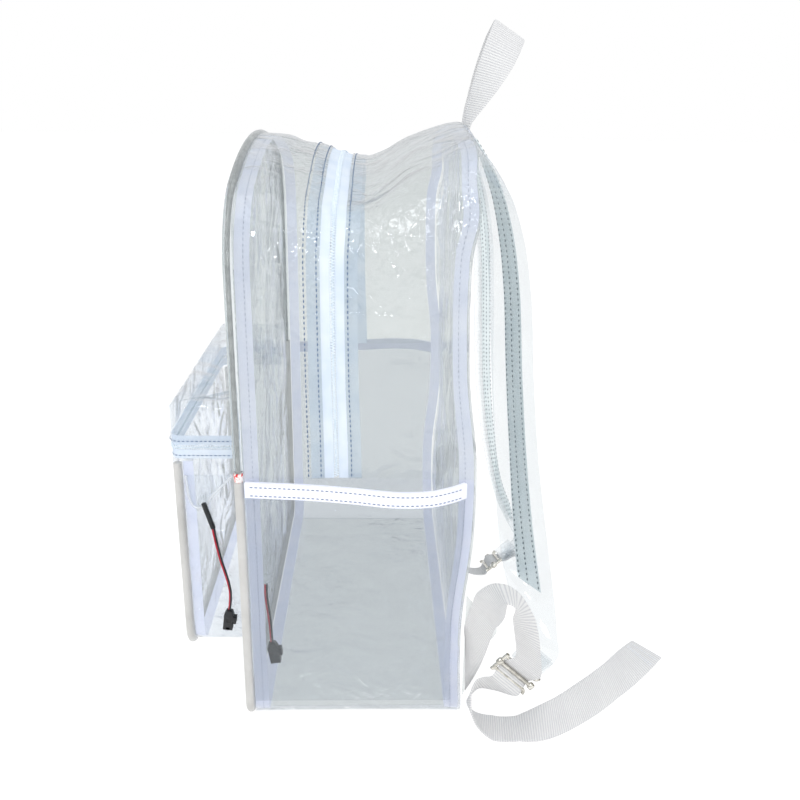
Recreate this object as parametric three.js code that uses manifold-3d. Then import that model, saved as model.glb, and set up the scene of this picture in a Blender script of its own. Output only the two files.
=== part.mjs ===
// Clear film backpack with white webbing straps, light-guide piping and two battery leads.
// Millimetres, +Z up. The bag stands on its base panel at z = 0: its front faces -Y,
// the wearer's back is at +Y, and "right" is the +X side.
import * as THREE from 'three';
import { mergeVertices } from 'three/addons/utils/BufferGeometryUtils.js';
import Module from 'manifold-3d';

// Film, gaps and the bag's own sizes
const film = 1;
const gap = 0.3;
const seamGap = 0.5;
const bagWidth = 314;
const bagDepth = 147;
const frontHeight = 386;
const backHeight = 395;
const frontCrownRadius = 350;
const backCrownRadius = 900;
const frontCornerRadius = 55;
const backCornerRadius = 50;
const footRadius = 14;
const sideHollow = 3;
const topSagRight = 28;
const topSagLeft = 16;
const seamWave = 5;

// Piping, bindings and the main zip
const pipeRadius = 3;
const pipeSides = 8;
const tubeStep = 9;
const ledLength = 6.4;
const bindingWidth = 9;
const tapeThickness = 1;
const zipFromFront = 61;
const zipTapeWidth = 14;
const coilWidth = 2.4;
const coilThickness = 2;
const sliderHeightOnBag = 228;
const sliderLength = 11;
const sliderWidth = 8;
const sliderThickness = 4;
const pullLength = 20;
const pullWidth = 5;
const pullThickness = 1.2;
const pullTilt = 0.12;
const pocketPullTilt = -0.25;

// Side pockets
const sidePocketTop = 183;
const sidePocketBottom = 17;
const sidePocketBillow = 14;
const hemHeight = 9;
const hemThickness = 0.8;

// Front pocket
const pocketWidth = 214;
const pocketDepth = 54;
const pocketBottom = 26;
const pocketTop = 217;
const pocketZipTop = 194;
const pocketZipBottom = 177;
const pocketFootRadius = 14;
const pocketTopRadius = 5;
const pocketPanelSetback = 4.5;
const pocketBindingWidth = 7;
const pocketBindingDrop = 0.6;
const tabWidth = 32;
const tabHeight = 25;
const tabThickness = 1.2;
const tabFromPocketZip = 12;
const tabSetback = 2;

// Leads
const leadRadius = 1.3;
const leadSides = 6;
const sleeveRadius = 1.8;
const sleeveLength = 20;
const connectorLength = 15.5;
const connectorWidth = 7;
const connectorThickness = 5.4;
const latchReach = 2.2;
const pocketLeadLean = -0.12;
const bagLeadLean = 0.16;

// Straps
const webbingWidth = 25;
const webbingThickness = 1.5;
const strapWidth = 52;
const strapThickness = 1.2;
const stripWidth = 20;
const stripThickness = 1.2;
const strapSpread = 66;
const strapReach = 46;
const loopFootDrop = 11;
const loopHeight = 62;
const loopLean = 30;
const loopSpread = 17;
const anchorTabReach = 22;
const anchorTabHeight = 80;
const anchorTabBottom = 20;
const archHeight = 107;
const glideOut = 3;
const glideReach = 36.3;
const glideHeight = 40.1;
const leftGlideIn = 8;
const leftGlideReach = 40.5;
const leftGlideHeight = 30;
const tailReach = 143;
const tailTipHeight = 25;

// Tri-glide buckles
const wireRadius = 1.3;
const glideSpan = 30.4;
const glidePitch = 10.9;
const collarLength = 4;
const collarWall = 0.65;
const keeperLength = 13;
const keeperThickness = 1;
const keeperWidth = 24;

// Colours and finishes
const finishes = {
  clear: { color: 0xdfe8e8, roughness: 0.08, metalness: 0, transparent: true, opacity: 0.45 },
  tape: { color: 0xe6e8f6, roughness: 0.55, metalness: 0 },
  webbing: { color: 0xf1f1f0, roughness: 0.8, metalness: 0 },
  pipe: { color: 0xe9eeee, roughness: 0.1, metalness: 0, transparent: true, opacity: 0.6 },
  conduit: { color: 0xcfcdc6, roughness: 0.35, metalness: 0 },
  led: { color: 0xf2e6e4, roughness: 0.4, metalness: 0 },
  metal: { color: 0xc9c6bd, roughness: 0.2, metalness: 1 },
  black: { color: 0x1b1d20, roughness: 0.45, metalness: 0 },
  wire: { color: 0x9c1f2a, roughness: 0.4, metalness: 0 },
};

// Planes that several pieces share
const halfWidth = bagWidth / 2;
const frontPlane = -72;
const backPlane = frontPlane + bagDepth;
const shellFront = frontPlane + pipeRadius + gap;
const shellBack = backPlane - film - seamGap;
const zipCentre = frontPlane + zipFromFront;
const tapeFrontEdge = zipCentre - coilWidth / 2 - gap - zipTapeWidth;
const tapeRearEdge = zipCentre + coilWidth / 2 + gap + zipTapeWidth;
const joinHeight = sidePocketTop + 2;
const footSteps = 3;
const sideSteps = 4;
const cornerSteps = 5;
const crownSteps = 5;
const footBend = 2.5 * footRadius;
const easing = 1.5;

const bag = new THREE.Group();

function addPiece(name, geometry, finish) {
  const material = new THREE.MeshStandardMaterial(finish);
  const mesh = new THREE.Mesh(geometry, material);
  mesh.name = name;
  bag.add(mesh);
  return mesh;
}

// Closed solid from corner points and triangles, turned the right way out
function solidFrom(points, triangles) {
  let volume = 0;
  for (const [a, b, c] of triangles) {
    volume += points[a].dot(new THREE.Vector3().crossVectors(points[b], points[c]));
  }
  const index = volume > 0 ? triangles.flat() : triangles.flatMap(([a, b, c]) => [a, c, b]);
  const geometry = new THREE.BufferGeometry();
  geometry.setFromPoints(points);
  geometry.setIndex(index);
  geometry.computeVertexNormals();
  return geometry;
}

// Sheet of even thickness from a grid of points. The wall grows along row step x column step.
function sheet(grid, thickness, isLoop = false) {
  const rows = grid.length;
  const columns = grid[0].length;
  const at = (i, j) => grid[isLoop ? (i + rows) % rows : Math.min(Math.max(i, 0), rows - 1)][j];
  const outer = grid.flat();
  const inner = [];
  for (let i = 0; i < rows; i += 1) {
    for (let j = 0; j < columns; j += 1) {
      const along = at(i + 1, j).clone().sub(at(i - 1, j));
      const across = at(i, Math.min(j + 1, columns - 1)).clone().sub(at(i, Math.max(j - 1, 0)));
      const normal = along.cross(across).normalize();
      inner.push(grid[i][j].clone().addScaledVector(normal, thickness));
    }
  }
  const points = [...outer, ...inner];
  const triangles = [];
  const quad = (a, b, c, d) => triangles.push([a, b, c], [a, c, d]);
  const id = (i, j, layer) => layer * rows * columns + (i % rows) * columns + j;
  const lastRow = isLoop ? rows : rows - 1;
  for (let i = 0; i < lastRow; i += 1) {
    for (let j = 0; j < columns - 1; j += 1) {
      quad(id(i, j, 0), id(i + 1, j, 0), id(i + 1, j + 1, 0), id(i, j + 1, 0));
      quad(id(i, j, 1), id(i, j + 1, 1), id(i + 1, j + 1, 1), id(i + 1, j, 1));
    }
    quad(id(i, 0, 0), id(i, 0, 1), id(i + 1, 0, 1), id(i + 1, 0, 0));
    quad(id(i, columns - 1, 0), id(i + 1, columns - 1, 0), id(i + 1, columns - 1, 1), id(i, columns - 1, 1));
  }
  if (!isLoop) {
    for (let j = 0; j < columns - 1; j += 1) {
      quad(id(0, j, 0), id(0, j + 1, 0), id(0, j + 1, 1), id(0, j, 1));
      const last = rows - 1;
      quad(id(last, j, 0), id(last, j, 1), id(last, j + 1, 1), id(last, j + 1, 0));
    }
  }
  return solidFrom(points, triangles);
}

// Solid lofted through a flat section carried by a row of frames { origin, ax, ay }
function loft(frames, sectionAt) {
  const count = sectionAt(0).length;
  const points = [];
  frames.forEach((frame, k) => {
    for (const [u, v] of sectionAt(k)) {
      points.push(frame.origin.clone().addScaledVector(frame.ax, u).addScaledVector(frame.ay, v));
    }
  });
  const triangles = [];
  for (let k = 0; k < frames.length - 1; k += 1) {
    for (let c = 0; c < count; c += 1) {
      const next = (c + 1) % count;
      const a = k * count + c;
      const b = k * count + next;
      triangles.push([a, b, b + count], [a, b + count, a + count]);
    }
  }
  const contour = sectionAt(0).map(([u, v]) => new THREE.Vector2(u, v));
  const base = (frames.length - 1) * count;
  for (const [a, b, c] of THREE.ShapeUtils.triangulateShape(contour, [])) {
    triangles.push([a, c, b], [base + a, base + b, base + c]);
  }
  return solidFrom(points, triangles);
}

// Value of a table column at a share, between its rows
function tableValue(rows, key, column, share) {
  const next = rows.findIndex((row) => row[key] >= share);
  if (next <= 0) return next === 0 ? rows[0][column] : rows[rows.length - 1][column];
  const low = rows[next - 1];
  const high = rows[next];
  const blend = (share - low[key]) / (high[key] - low[key]);
  return THREE.MathUtils.lerp(low[column], high[column], blend);
}

// Right half of a panel's outline, from the middle of the foot to the middle of the top
function rightOutline(height, crownRadius, cornerRadius) {
  const crownCentre = height - crownRadius;
  const reach = halfWidth - cornerRadius;
  const cornerCentre = crownCentre + Math.sqrt((crownRadius - cornerRadius) ** 2 - reach ** 2);
  const turn = Math.atan2(cornerCentre - crownCentre, reach);
  const nodes = [];
  const put = (x, z, angle) => nodes.push({ x, z, nx: Math.cos(angle), nz: Math.sin(angle) });
  const arc = (cx, cz, radius, from, to, steps, skipFirst) => {
    for (let k = skipFirst ? 1 : 0; k <= steps; k += 1) {
      const angle = THREE.MathUtils.lerp(from, to, k / steps);
      put(cx + radius * Math.cos(angle), cz + radius * Math.sin(angle), angle);
    }
  };
  const down = -Math.PI / 2;
  put(0, 0, down);
  put(halfWidth - footBend, 0, down);
  arc(halfWidth - footRadius, footRadius, footRadius, down, 0, footSteps, false);
  for (let k = 1; k <= sideSteps; k += 1) {
    put(halfWidth, THREE.MathUtils.lerp(footRadius, joinHeight, (k / sideSteps) ** easing), 0);
  }
  for (let k = 1; k < sideSteps; k += 1) {
    put(halfWidth, THREE.MathUtils.lerp(joinHeight, cornerCentre, k / sideSteps), 0);
  }
  arc(reach, cornerCentre, cornerRadius, 0, turn, cornerSteps, false);
  arc(0, crownCentre, crownRadius, turn, Math.PI / 2, crownSteps, true);
  return nodes;
}

const frontHalf = rightOutline(frontHeight, frontCrownRadius, frontCornerRadius);
const backHalf = rightOutline(backHeight, backCrownRadius, backCornerRadius);
const mirrored = (node) => ({ ...node, x: -node.x, nx: -node.nx });

// Whole outline as a loop: up the right side, over the top and down the left side
function loopOutline(half) {
  const left = half.slice(1, -1).reverse().map(mirrored);
  return [...half, ...left];
}

const frontLoop = loopOutline(frontHalf);
const backLoop = loopOutline(backHalf);

// Share of the top's sag from the front seam (0) to the back seam (1)
const sagRows = [
  { across: 0, share: 0 },
  { across: 0.13, share: 0.14 },
  { across: 0.2, share: 0.36 },
  { across: 0.28, share: 0.48 },
  { across: 0.4, share: 0.78 },
  { across: 0.52, share: 1 },
  { across: 0.63, share: 0.8 },
  { across: 0.71, share: 0.5 },
  { across: 0.8, share: 0.28 },
  { across: 0.94, share: 0.04 },
  { across: 1, share: 0 },
];

// How far the back seam stands off its straight line, as a share of the wave, by height
const waveRows = [
  { height: 0, share: 0 },
  { height: 0.2, share: -0.4 },
  { height: 0.36, share: 0.7 },
  { height: 0.5, share: 0.6 },
  { height: 0.64, share: -0.7 },
  { height: 0.82, share: -1 },
  { height: 0.89, share: -0.1 },
  { height: 0.94, share: -0.8 },
  { height: 1, share: -0.6 },
];

function backSeamOffset(z) {
  return seamWave * tableValue(waveRows, 'height', 'share', z / backHeight);
}

// Point of the soft shell on outline node k, at depth y, moved in by inset
function shellPoint(k, y, inset = 0) {
  const front = frontLoop[k];
  const back = backLoop[k];
  const across = (y - shellFront) / (shellBack - shellFront);
  const x = THREE.MathUtils.lerp(front.x, back.x, across);
  const z = THREE.MathUtils.lerp(front.z, back.z, across);
  const nx = THREE.MathUtils.lerp(front.nx, back.nx, across);
  const nz = THREE.MathUtils.lerp(front.nz, back.nz, across);
  const crown = Math.max(nz, 0) ** easing;
  const upright = 1 - Math.abs(nz);
  const sagDepth = THREE.MathUtils.lerp(topSagLeft, topSagRight, (x + halfWidth) / bagWidth);
  const sag = sagDepth * crown * tableValue(sagRows, 'across', 'share', across);
  const hollow = sideHollow * upright * Math.sin(Math.PI * THREE.MathUtils.clamp(across, 0, 1));
  const wave = backSeamOffset(z) * upright * Math.max(across, 0) ** 2;
  const move = sag + hollow + inset;
  return new THREE.Vector3(x - nx * move, y + wave, z - nz * move);
}

function shellStrip(nodes, depths, thickness, inset = 0, isLoop = false) {
  const grid = nodes.map((k) => depths.map((y) => shellPoint(k, y, inset)));
  return sheet(grid, thickness, isLoop);
}

function between(from, to, steps) {
  return Array.from({ length: steps + 1 }, (_, k) => THREE.MathUtils.lerp(from, to, k / steps));
}

// Depths of a strip of the shell, with one at each fold of the sag table
function foldDepths(from, to) {
  const folds = sagRows.map((row) => THREE.MathUtils.lerp(shellFront, shellBack, row.across));
  return [from, ...folds.filter((y) => y > from + gap && y < to - gap), to];
}

const allNodes = frontLoop.map((_, k) => k);
const footStart = 2;
const firstOver = footStart + footSteps + sideSteps;
const overNodes = allNodes.filter((k) => k >= firstOver && k <= allNodes.length - firstOver);

// Upper side-and-top wall: two clear strips with the zip between them
const frontStrip = foldDepths(shellFront, tapeFrontEdge - gap);
const rearStrip = foldDepths(tapeRearEdge + gap, shellBack);
addPiece('upper_wall_front', shellStrip(overNodes, frontStrip, film), finishes.clear);
addPiece('upper_wall_rear', shellStrip(overNodes, rearStrip, film), finishes.clear);
const frontTape = foldDepths(tapeFrontEdge, tapeFrontEdge + zipTapeWidth);
const rearTape = foldDepths(tapeRearEdge - zipTapeWidth, tapeRearEdge);
addPiece('zip_tape_front', shellStrip(overNodes, frontTape, tapeThickness), finishes.tape);
addPiece('zip_tape_rear', shellStrip(overNodes, rearTape, tapeThickness), finishes.tape);
const coilBand = foldDepths(zipCentre - coilWidth / 2, zipCentre + coilWidth / 2);
addPiece('zip_coil', shellStrip(overNodes, coilBand, coilThickness, -coilThickness / 4), finishes.tape);

// Lower side walls, each turning in under the foot, and the flat base between them
const sideTop = joinHeight - gap;
function lowerWall(isRight) {
  const depths = between(shellFront, shellBack, 6);
  const rightNodes = allNodes.filter((k) => k >= footStart && k < firstOver);
  const grid = rightNodes.map((k) => depths.map((y) => shellPoint(k, y)));
  grid[0].forEach((point) => point.setX(point.x + seamGap));
  grid.push(depths.map((y) => shellPoint(firstOver, y).setZ(sideTop)));
  if (!isRight) {
    grid.reverse();
    grid.flat().forEach((point) => point.setX(-point.x));
  }
  return sheet(grid, film);
}
addPiece('lower_wall_right', lowerWall(true), finishes.clear);
addPiece('lower_wall_left', lowerWall(false), finishes.clear);

const baseHalf = halfWidth - footRadius;
const baseLength = shellBack - shellFront;
const baseGeometry = new THREE.BoxGeometry(2 * baseHalf, baseLength, film);
baseGeometry.translate(0, (shellFront + shellBack) / 2, film / 2);
addPiece('base_panel', baseGeometry, finishes.clear);

// Front and back panels, each spanned by chords between its two sides
function panel(half, inset, footLift, yAt, thickness) {
  const chordEnds = half.filter((node) => node.x > bagWidth / 40 && node.nz !== -1);
  const foot = half.find((node) => node.nz === -1 && node.x > baseHalf - 1);
  const spans = [foot, ...chordEnds];
  const grid = spans.map((node) => {
    const edge = node.x - inset * node.nx;
    const z = node.z - inset * node.nz + footLift * Math.max(-node.nz, 0);
    return [-1, -0.75, 0, 0.75, 1].map((s) => new THREE.Vector3(edge * s, yAt(s, node), z));
  });
  return sheet(grid, thickness);
}
const pipeInset = 1;
const pipeLift = pipeRadius - pipeInset + gap;
const frontInset = pipeRadius + seamGap + gap + pipeInset;
const frontPanelAt = () => frontPlane - film / 2;
addPiece('front_panel', panel(frontHalf, frontInset, pipeLift, frontPanelAt, film), finishes.clear);
const backPanelAt = (s, node) => {
  const wave = backSeamOffset(node.z) * (1 - Math.abs(node.nz));
  return backPlane - film + wave * Math.abs(s) ** 4;
};
addPiece('back_panel', panel(backHalf, 0, 0, backPanelAt, film), finishes.clear);

// Binding tapes over the inner seams, all the way round the front and the back
const bindingInset = film + seamGap;
const frontBinding = foldDepths(shellFront + gap, shellFront + gap + bindingWidth);
const backBinding = foldDepths(shellBack - gap - bindingWidth, shellBack - gap);
const bindings = { front_seam_binding: frontBinding, back_seam_binding: backBinding };
for (const [name, depths] of Object.entries(bindings)) {
  addPiece(name, shellStrip(allNodes, depths, tapeThickness, bindingInset, true), finishes.tape);
}

// Round tube along a route, in even steps
function tube(route, radius, sides) {
  const section = new THREE.Shape();
  for (let k = 0; k < sides; k += 1) {
    const angle = (2 * Math.PI * k) / sides;
    const method = k === 0 ? 'moveTo' : 'lineTo';
    section[method](radius * Math.cos(angle), radius * Math.sin(angle));
  }
  const extrudePath = new THREE.CatmullRomCurve3(route, false, 'centripetal');
  const steps = Math.ceil(extrudePath.getLength() / tubeStep);
  return new THREE.ExtrudeGeometry(section, { steps, bevelEnabled: false, extrudePath });
}

// Front edge piping: clear light pipe above the lamp, opaque conduit below it
const pipePoint = (node) => {
  const lift = pipeLift * Math.max(-node.nz, 0);
  return new THREE.Vector3(node.x - pipeInset * node.nx, frontPlane, node.z + lift - pipeInset * node.nz);
};
const ledHeight = sidePocketTop + ledLength / 2;
const pipeSide = halfWidth - pipeInset;
const lampEnd = (side, z) => new THREE.Vector3(side * pipeSide, frontPlane, z);
const pipeGap = ledLength / 2 + gap;
const upperRoute = [lampEnd(1, ledHeight + pipeGap)];
const lowerRoute = [lampEnd(-1, ledHeight - gap)];
for (const node of frontLoop.filter((n) => n.z > ledHeight + pipeGap + bindingWidth)) {
  upperRoute.push(pipePoint(node));
}
upperRoute.push(lampEnd(-1, ledHeight));
const lowNodes = frontLoop.filter((n) => n.z < ledHeight - pipeGap - bindingWidth);
const lowLeft = lowNodes.filter((n) => n.x < 0);
const lowRight = lowNodes.filter((n) => n.x >= 0);
for (const node of [...lowLeft, ...lowRight]) {
  lowerRoute.push(pipePoint(node));
}
lowerRoute.push(lampEnd(1, ledHeight - pipeGap));
addPiece('light_pipe', tube(upperRoute, pipeRadius, pipeSides), finishes.pipe);
addPiece('light_conduit', tube(lowerRoute, pipeRadius, pipeSides), finishes.conduit);
const ledGeometry = new THREE.CylinderGeometry(pipeRadius, pipeRadius, ledLength, 12);
ledGeometry.rotateX(Math.PI / 2);
ledGeometry.translate(pipeSide, frontPlane, ledHeight);
addPiece('led_head', ledGeometry, finishes.led);

// Side pockets: how far the film stands out, from the front seam to the back seam
const billowRows = [
  { across: 0, share: 0 },
  { across: 0.3, share: 0.28 },
  { across: 0.5, share: 0.62 },
  { across: 0.68, share: 1 },
  { across: 0.84, share: 0.92 },
  { across: 0.94, share: 0.45 },
  { across: 1, share: 0 },
];

const hemFoot = 1 - (hemHeight + gap) / (sidePocketTop - sidePocketBottom);
const lipStart = hemFoot - hemHeight / sidePocketTop;
const seamSetback = 1;
const backSetback = 6;
const fillRate = 1.5;
function sidePocketPoint(side, across, rise, out) {
  const z = THREE.MathUtils.lerp(sidePocketBottom, sidePocketTop, rise);
  const flat = THREE.MathUtils.lerp(shellFront + seamSetback, shellBack - backSetback, across);
  const y = flat + backSeamOffset(z) * across ** 2;
  const fill = Math.sin((Math.PI / 2) * Math.min(rise * fillRate, 1));
  const billow = sidePocketBillow * tableValue(billowRows, 'across', 'share', across) * fill;
  const lip = (hemThickness + gap) * THREE.MathUtils.smoothstep(rise, lipStart, hemFoot);
  return new THREE.Vector3(side * (halfWidth + gap + film + billow + lip + out), y, z);
}

function sidePocket(side) {
  const crosswise = billowRows.map((row) => row.across);
  const upward = [...between(0, lipStart, 4), hemFoot, 1];
  const grid = upward.map((rise) => crosswise.map((across) => sidePocketPoint(side, across, rise, 0)));
  if (side < 0) grid.forEach((row) => row.reverse());
  return sheet(grid, film);
}

// Folded hem tape over the pocket's top edge, as a channel that holds the film
function pocketHem(side) {
  const slot = film / 2 + gap;
  const wall = slot + hemThickness;
  const floor = gap;
  const roof = gap + hemThickness;
  const section = [
    [-wall, -hemHeight], [-slot, -hemHeight], [-slot, floor], [slot, floor],
    [slot, -hemHeight], [wall, -hemHeight], [wall, roof], [-wall, roof],
  ];
  const path = billowRows.map(({ across }) => sidePocketPoint(side, across, 1, -film / 2));
  const up = new THREE.Vector3(0, 0, 1);
  const frames = path.map((origin, k) => {
    const ahead = path[Math.min(k + 1, path.length - 1)].clone().sub(path[Math.min(k, path.length - 2)]);
    const behind = path[Math.max(k, 1)].clone().sub(path[Math.max(k - 1, 0)]);
    const along = ahead.normalize().add(behind.normalize());
    return { origin, ax: new THREE.Vector3().crossVectors(along, up).normalize(), ay: up };
  });
  return loft(frames, () => section);
}

const sides = { right: 1, left: -1 };
for (const [word, side] of Object.entries(sides)) {
  addPiece(`side_pocket_${word}`, sidePocket(side), finishes.clear);
  addPiece(`side_pocket_hem_${word}`, pocketHem(side), finishes.tape);
}

// Joins and cuts of closed meshes
const wasm = await Module();
wasm.setup();

function toManifold(geometry) {
  const bare = geometry.clone();
  bare.deleteAttribute('normal');
  bare.deleteAttribute('uv');
  const merged = mergeVertices(bare, 1e-4);
  const vertProperties = new Float32Array(merged.attributes.position.array);
  const triVerts = new Uint32Array(merged.index.array);
  return new wasm.Manifold(new wasm.Mesh({ numProp: 3, vertProperties, triVerts }));
}

function fromManifold(body) {
  const mesh = body.getMesh();
  const geometry = new THREE.BufferGeometry();
  geometry.setAttribute('position', new THREE.BufferAttribute(mesh.vertProperties, 3));
  geometry.setIndex(new THREE.BufferAttribute(mesh.triVerts, 1));
  return geometry;
}

function block(x, y, z) {
  const geometry = new THREE.BoxGeometry(x[1] - x[0], y[1] - y[0], z[1] - z[0]);
  geometry.translate((x[0] + x[1]) / 2, (y[0] + y[1]) / 2, (z[0] + z[1]) / 2);
  return geometry;
}

// Front pocket: a rounded box of film, open against the bag's front panel
const pocketHalf = pocketWidth / 2;
const pocketFront = frontPlane - pocketDepth;
const pocketBack = frontPlane - film / 2 - gap;
const pocketFace = pocketFront + pocketPanelSetback;

function pocketOutline(inset) {
  const shape = new THREE.Shape();
  const x = pocketHalf - inset;
  const low = pocketBottom + inset;
  const high = pocketTop - inset;
  const foot = pocketFootRadius - inset;
  const top = pocketTopRadius - inset;
  shape.moveTo(0, low);
  shape.lineTo(x - foot, low);
  shape.absarc(x - foot, low + foot, foot, -Math.PI / 2, 0, false);
  shape.lineTo(x, high - top);
  shape.absarc(x - top, high - top, top, 0, Math.PI / 2, false);
  shape.lineTo(-x + top, high);
  shape.absarc(-x + top, high - top, top, Math.PI / 2, Math.PI, false);
  shape.lineTo(-x, low + foot);
  shape.absarc(-x + foot, low + foot, foot, Math.PI, 1.5 * Math.PI, false);
  return shape;
}

// Solid of the pocket's outline between two depths
function pocketSolid(inset, from, to) {
  const settings = { depth: to - from, bevelEnabled: false, curveSegments: 4 };
  const geometry = new THREE.ExtrudeGeometry(pocketOutline(inset), settings);
  geometry.rotateX(Math.PI / 2);
  geometry.translate(0, to, 0);
  return toManifold(geometry);
}

function pocketSlice(body, low, high) {
  const wide = pocketWidth;
  return fromManifold(body.intersect(toManifold(block([-wide, wide], [2 * pocketFront, 0], [low, high]))));
}

const pocketCore = pocketSolid(film, pocketFront + film, 0);
const pocketShell = pocketSolid(0, pocketFront, pocketBack).subtract(pocketCore);
const pocketWall = pocketSolid(0, pocketFace + pipeRadius + gap, pocketBack).subtract(pocketCore);
const coilMiddle = (pocketZipTop + pocketZipBottom) / 2;
const coilHalf = coilWidth / 2;
const pocketCeiling = pocketTop + film;
const coilTop = coilMiddle + coilHalf;
const coilFoot = coilMiddle - coilHalf;
const zipSlices = [
  { name: 'pocket_zip_tape_upper', low: coilTop + gap, high: pocketZipTop },
  { name: 'pocket_zip_coil', low: coilFoot, high: coilTop },
  { name: 'pocket_zip_tape_lower', low: pocketZipBottom + gap, high: coilFoot - gap },
];
addPiece('pocket_lid', pocketSlice(pocketShell, pocketZipTop + gap, pocketCeiling), finishes.clear);
for (const { name, low, high } of zipSlices) {
  addPiece(name, pocketSlice(pocketShell, low, high), finishes.tape);
}
addPiece('pocket_side_wall', pocketSlice(pocketWall, 0, pocketZipBottom), finishes.clear);

// Pocket front: taut at its piping, standing forward to meet the zip band at the top
const pocketInset = pipeRadius + 2 * gap;
const bellyRows = [
  { rise: 0, share: 0 },
  { rise: 0.5, share: 0.15 },
  { rise: 0.8, share: 0.6 },
  { rise: 1, share: 1 },
];
function pocketFacePoint(s, rise) {
  const low = pocketBottom + pocketInset;
  const z = THREE.MathUtils.lerp(low, pocketZipBottom - gap, rise);
  const foot = pocketFootRadius - pocketInset;
  const drop = Math.max(low + foot - z, 0);
  const edge = pocketHalf - pocketInset - foot + Math.sqrt(foot ** 2 - drop ** 2);
  const reach = (pocketPanelSetback - film / 2) * tableValue(bellyRows, 'rise', 'share', rise);
  return new THREE.Vector3(edge * s, pocketFace + film / 2 - reach, z);
}
const faceRises = [0, 0.02, 0.05, 0.08, 0.3, 0.5, 0.65, 0.8, 0.9, 1];
const faceGrid = faceRises.map((rise) => [-1, -0.5, 0, 0.5, 1].map((s) => pocketFacePoint(s, rise)));
addPiece('pocket_front_panel', sheet(faceGrid, -film), finishes.clear);

// Pocket piping and the binding behind it, down one side, along the foot and up the other
function pocketEdgeRoute() {
  const points = [new THREE.Vector3(pocketHalf, pocketFace, pocketZipBottom - gap)];
  const foot = pocketFootRadius;
  for (const z of between(pocketZipBottom - gap, pocketBottom + foot, 4).slice(1, -1)) {
    points.push(new THREE.Vector3(pocketHalf, pocketFace, z));
  }
  for (let k = 0; k <= 4; k += 1) {
    const angle = (-Math.PI / 2) * (k / 4);
    const x = pocketHalf - foot + foot * Math.cos(angle);
    const z = pocketBottom + foot + foot * Math.sin(angle);
    points.push(new THREE.Vector3(x, pocketFace, z));
  }
  points.push(new THREE.Vector3(pocketHalf / 2, pocketFace, pocketBottom));
  const otherSide = points.map((p) => new THREE.Vector3(-p.x, p.y, p.z)).reverse();
  return [...points, ...otherSide];
}
addPiece('pocket_piping', tube(pocketEdgeRoute(), pipeRadius, pipeSides), finishes.conduit);
const bindFrom = pocketFace + pipeRadius + gap;
const bindTo = bindFrom + pocketBindingWidth;
const bindInset = film + gap;
const bindCore = pocketSolid(bindInset + tapeThickness, 2 * pocketFront, 0);
const bindBody = pocketSolid(bindInset, bindFrom, bindTo).subtract(bindCore);
addPiece('pocket_binding', pocketSlice(bindBody, 0, pocketZipBottom - pocketBindingDrop), finishes.tape);

// Plate with a straight taper between two heights, standing out from its outline
function taperedPlate(topHalf, top, footHalf, foot, depth) {
  const outline = new THREE.Shape();
  outline.moveTo(-topHalf, top);
  outline.lineTo(topHalf, top);
  outline.lineTo(footHalf, foot);
  outline.lineTo(-footHalf, foot);
  return new THREE.ExtrudeGeometry(outline, { depth, bevelEnabled: false });
}

// Zip slider with its hanging pull. Built facing out of the page, then set on the bag's left side.
const sliderTaper = 0.6;
const pullTaper = 0.7;
function sliderGeometry() {
  const half = sliderWidth / 2;
  const end = sliderLength / 2;
  const plate = taperedPlate(half, end, half * sliderTaper, -end, sliderThickness / 2);
  const ridge = block([-half / 4, half / 4], [-sliderLength / 3, sliderLength / 3], [0, sliderThickness]);
  return fromManifold(toManifold(plate).add(toManifold(ridge)));
}

function pullGeometry(tilt) {
  const half = pullWidth / 2;
  const plate = taperedPlate(half * pullTaper, 0, half, -pullLength, pullThickness);
  return plate.rotateZ(-tilt);
}

function addSlider(word, place, tilt) {
  const slider = sliderGeometry();
  const pull = pullGeometry(tilt);
  pull.translate(0, 0, sliderThickness + gap);
  for (const [piece, geometry] of Object.entries({ slider, pull })) {
    geometry.rotateX(Math.PI / 2);
    geometry.rotateZ(-Math.PI / 2);
    geometry.translate(place.x, place.y, place.z);
    addPiece(`${word}_${piece}`, geometry, finishes.metal);
  }
}
const leftSide = allNodes.length - firstOver - 1;
const bagSlider = shellPoint(leftSide, zipCentre, -coilThickness / 4 - gap).setZ(sliderHeightOnBag);
addSlider('zip', bagSlider, pullTilt);
const pocketSlider = new THREE.Vector3(-pocketHalf - gap, pocketFront + sliderWidth, coilMiddle);
addSlider('pocket_zip', pocketSlider, pocketPullTilt);

// Cable tab: a rounded flap of film on the pocket's right wall, over the lead's slit
const tabTop = pocketZipBottom - tabFromPocketZip;
const tabFront = pocketFace + pipeRadius + tabSetback;
const tabCorners = [
  { across: 0, drop: 0 },
  { across: 0.04, drop: 0.62 },
  { across: 0.08, drop: 1 },
  { across: 0.25, drop: 1 },
  { across: 0.42, drop: 1 },
  { across: 0.62, drop: 0.5 },
  { across: 1, drop: 0 },
].map(({ across, drop }) => [tabFront + across * tabWidth, tabTop - drop * tabHeight]);
const [tabStart, tabBend, tabCurl, tabFoot, tabSweep, tabRise, tabEnd] = tabCorners;
const tabShape = new THREE.Shape();
tabShape.moveTo(...tabStart);
tabShape.lineTo(...tabBend);
tabShape.quadraticCurveTo(...tabCurl, ...tabFoot);
tabShape.quadraticCurveTo(...tabSweep, ...tabRise);
tabShape.lineTo(...tabEnd);
const tabSettings = { depth: tabThickness, bevelEnabled: false, curveSegments: 5 };
const tabGeometry = new THREE.ExtrudeGeometry(tabShape, tabSettings);
tabGeometry.rotateX(Math.PI / 2);
tabGeometry.rotateZ(Math.PI / 2);
tabGeometry.translate(pocketHalf + gap, 0, 0);
addPiece('cable_tab', tabGeometry, finishes.clear);

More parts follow.
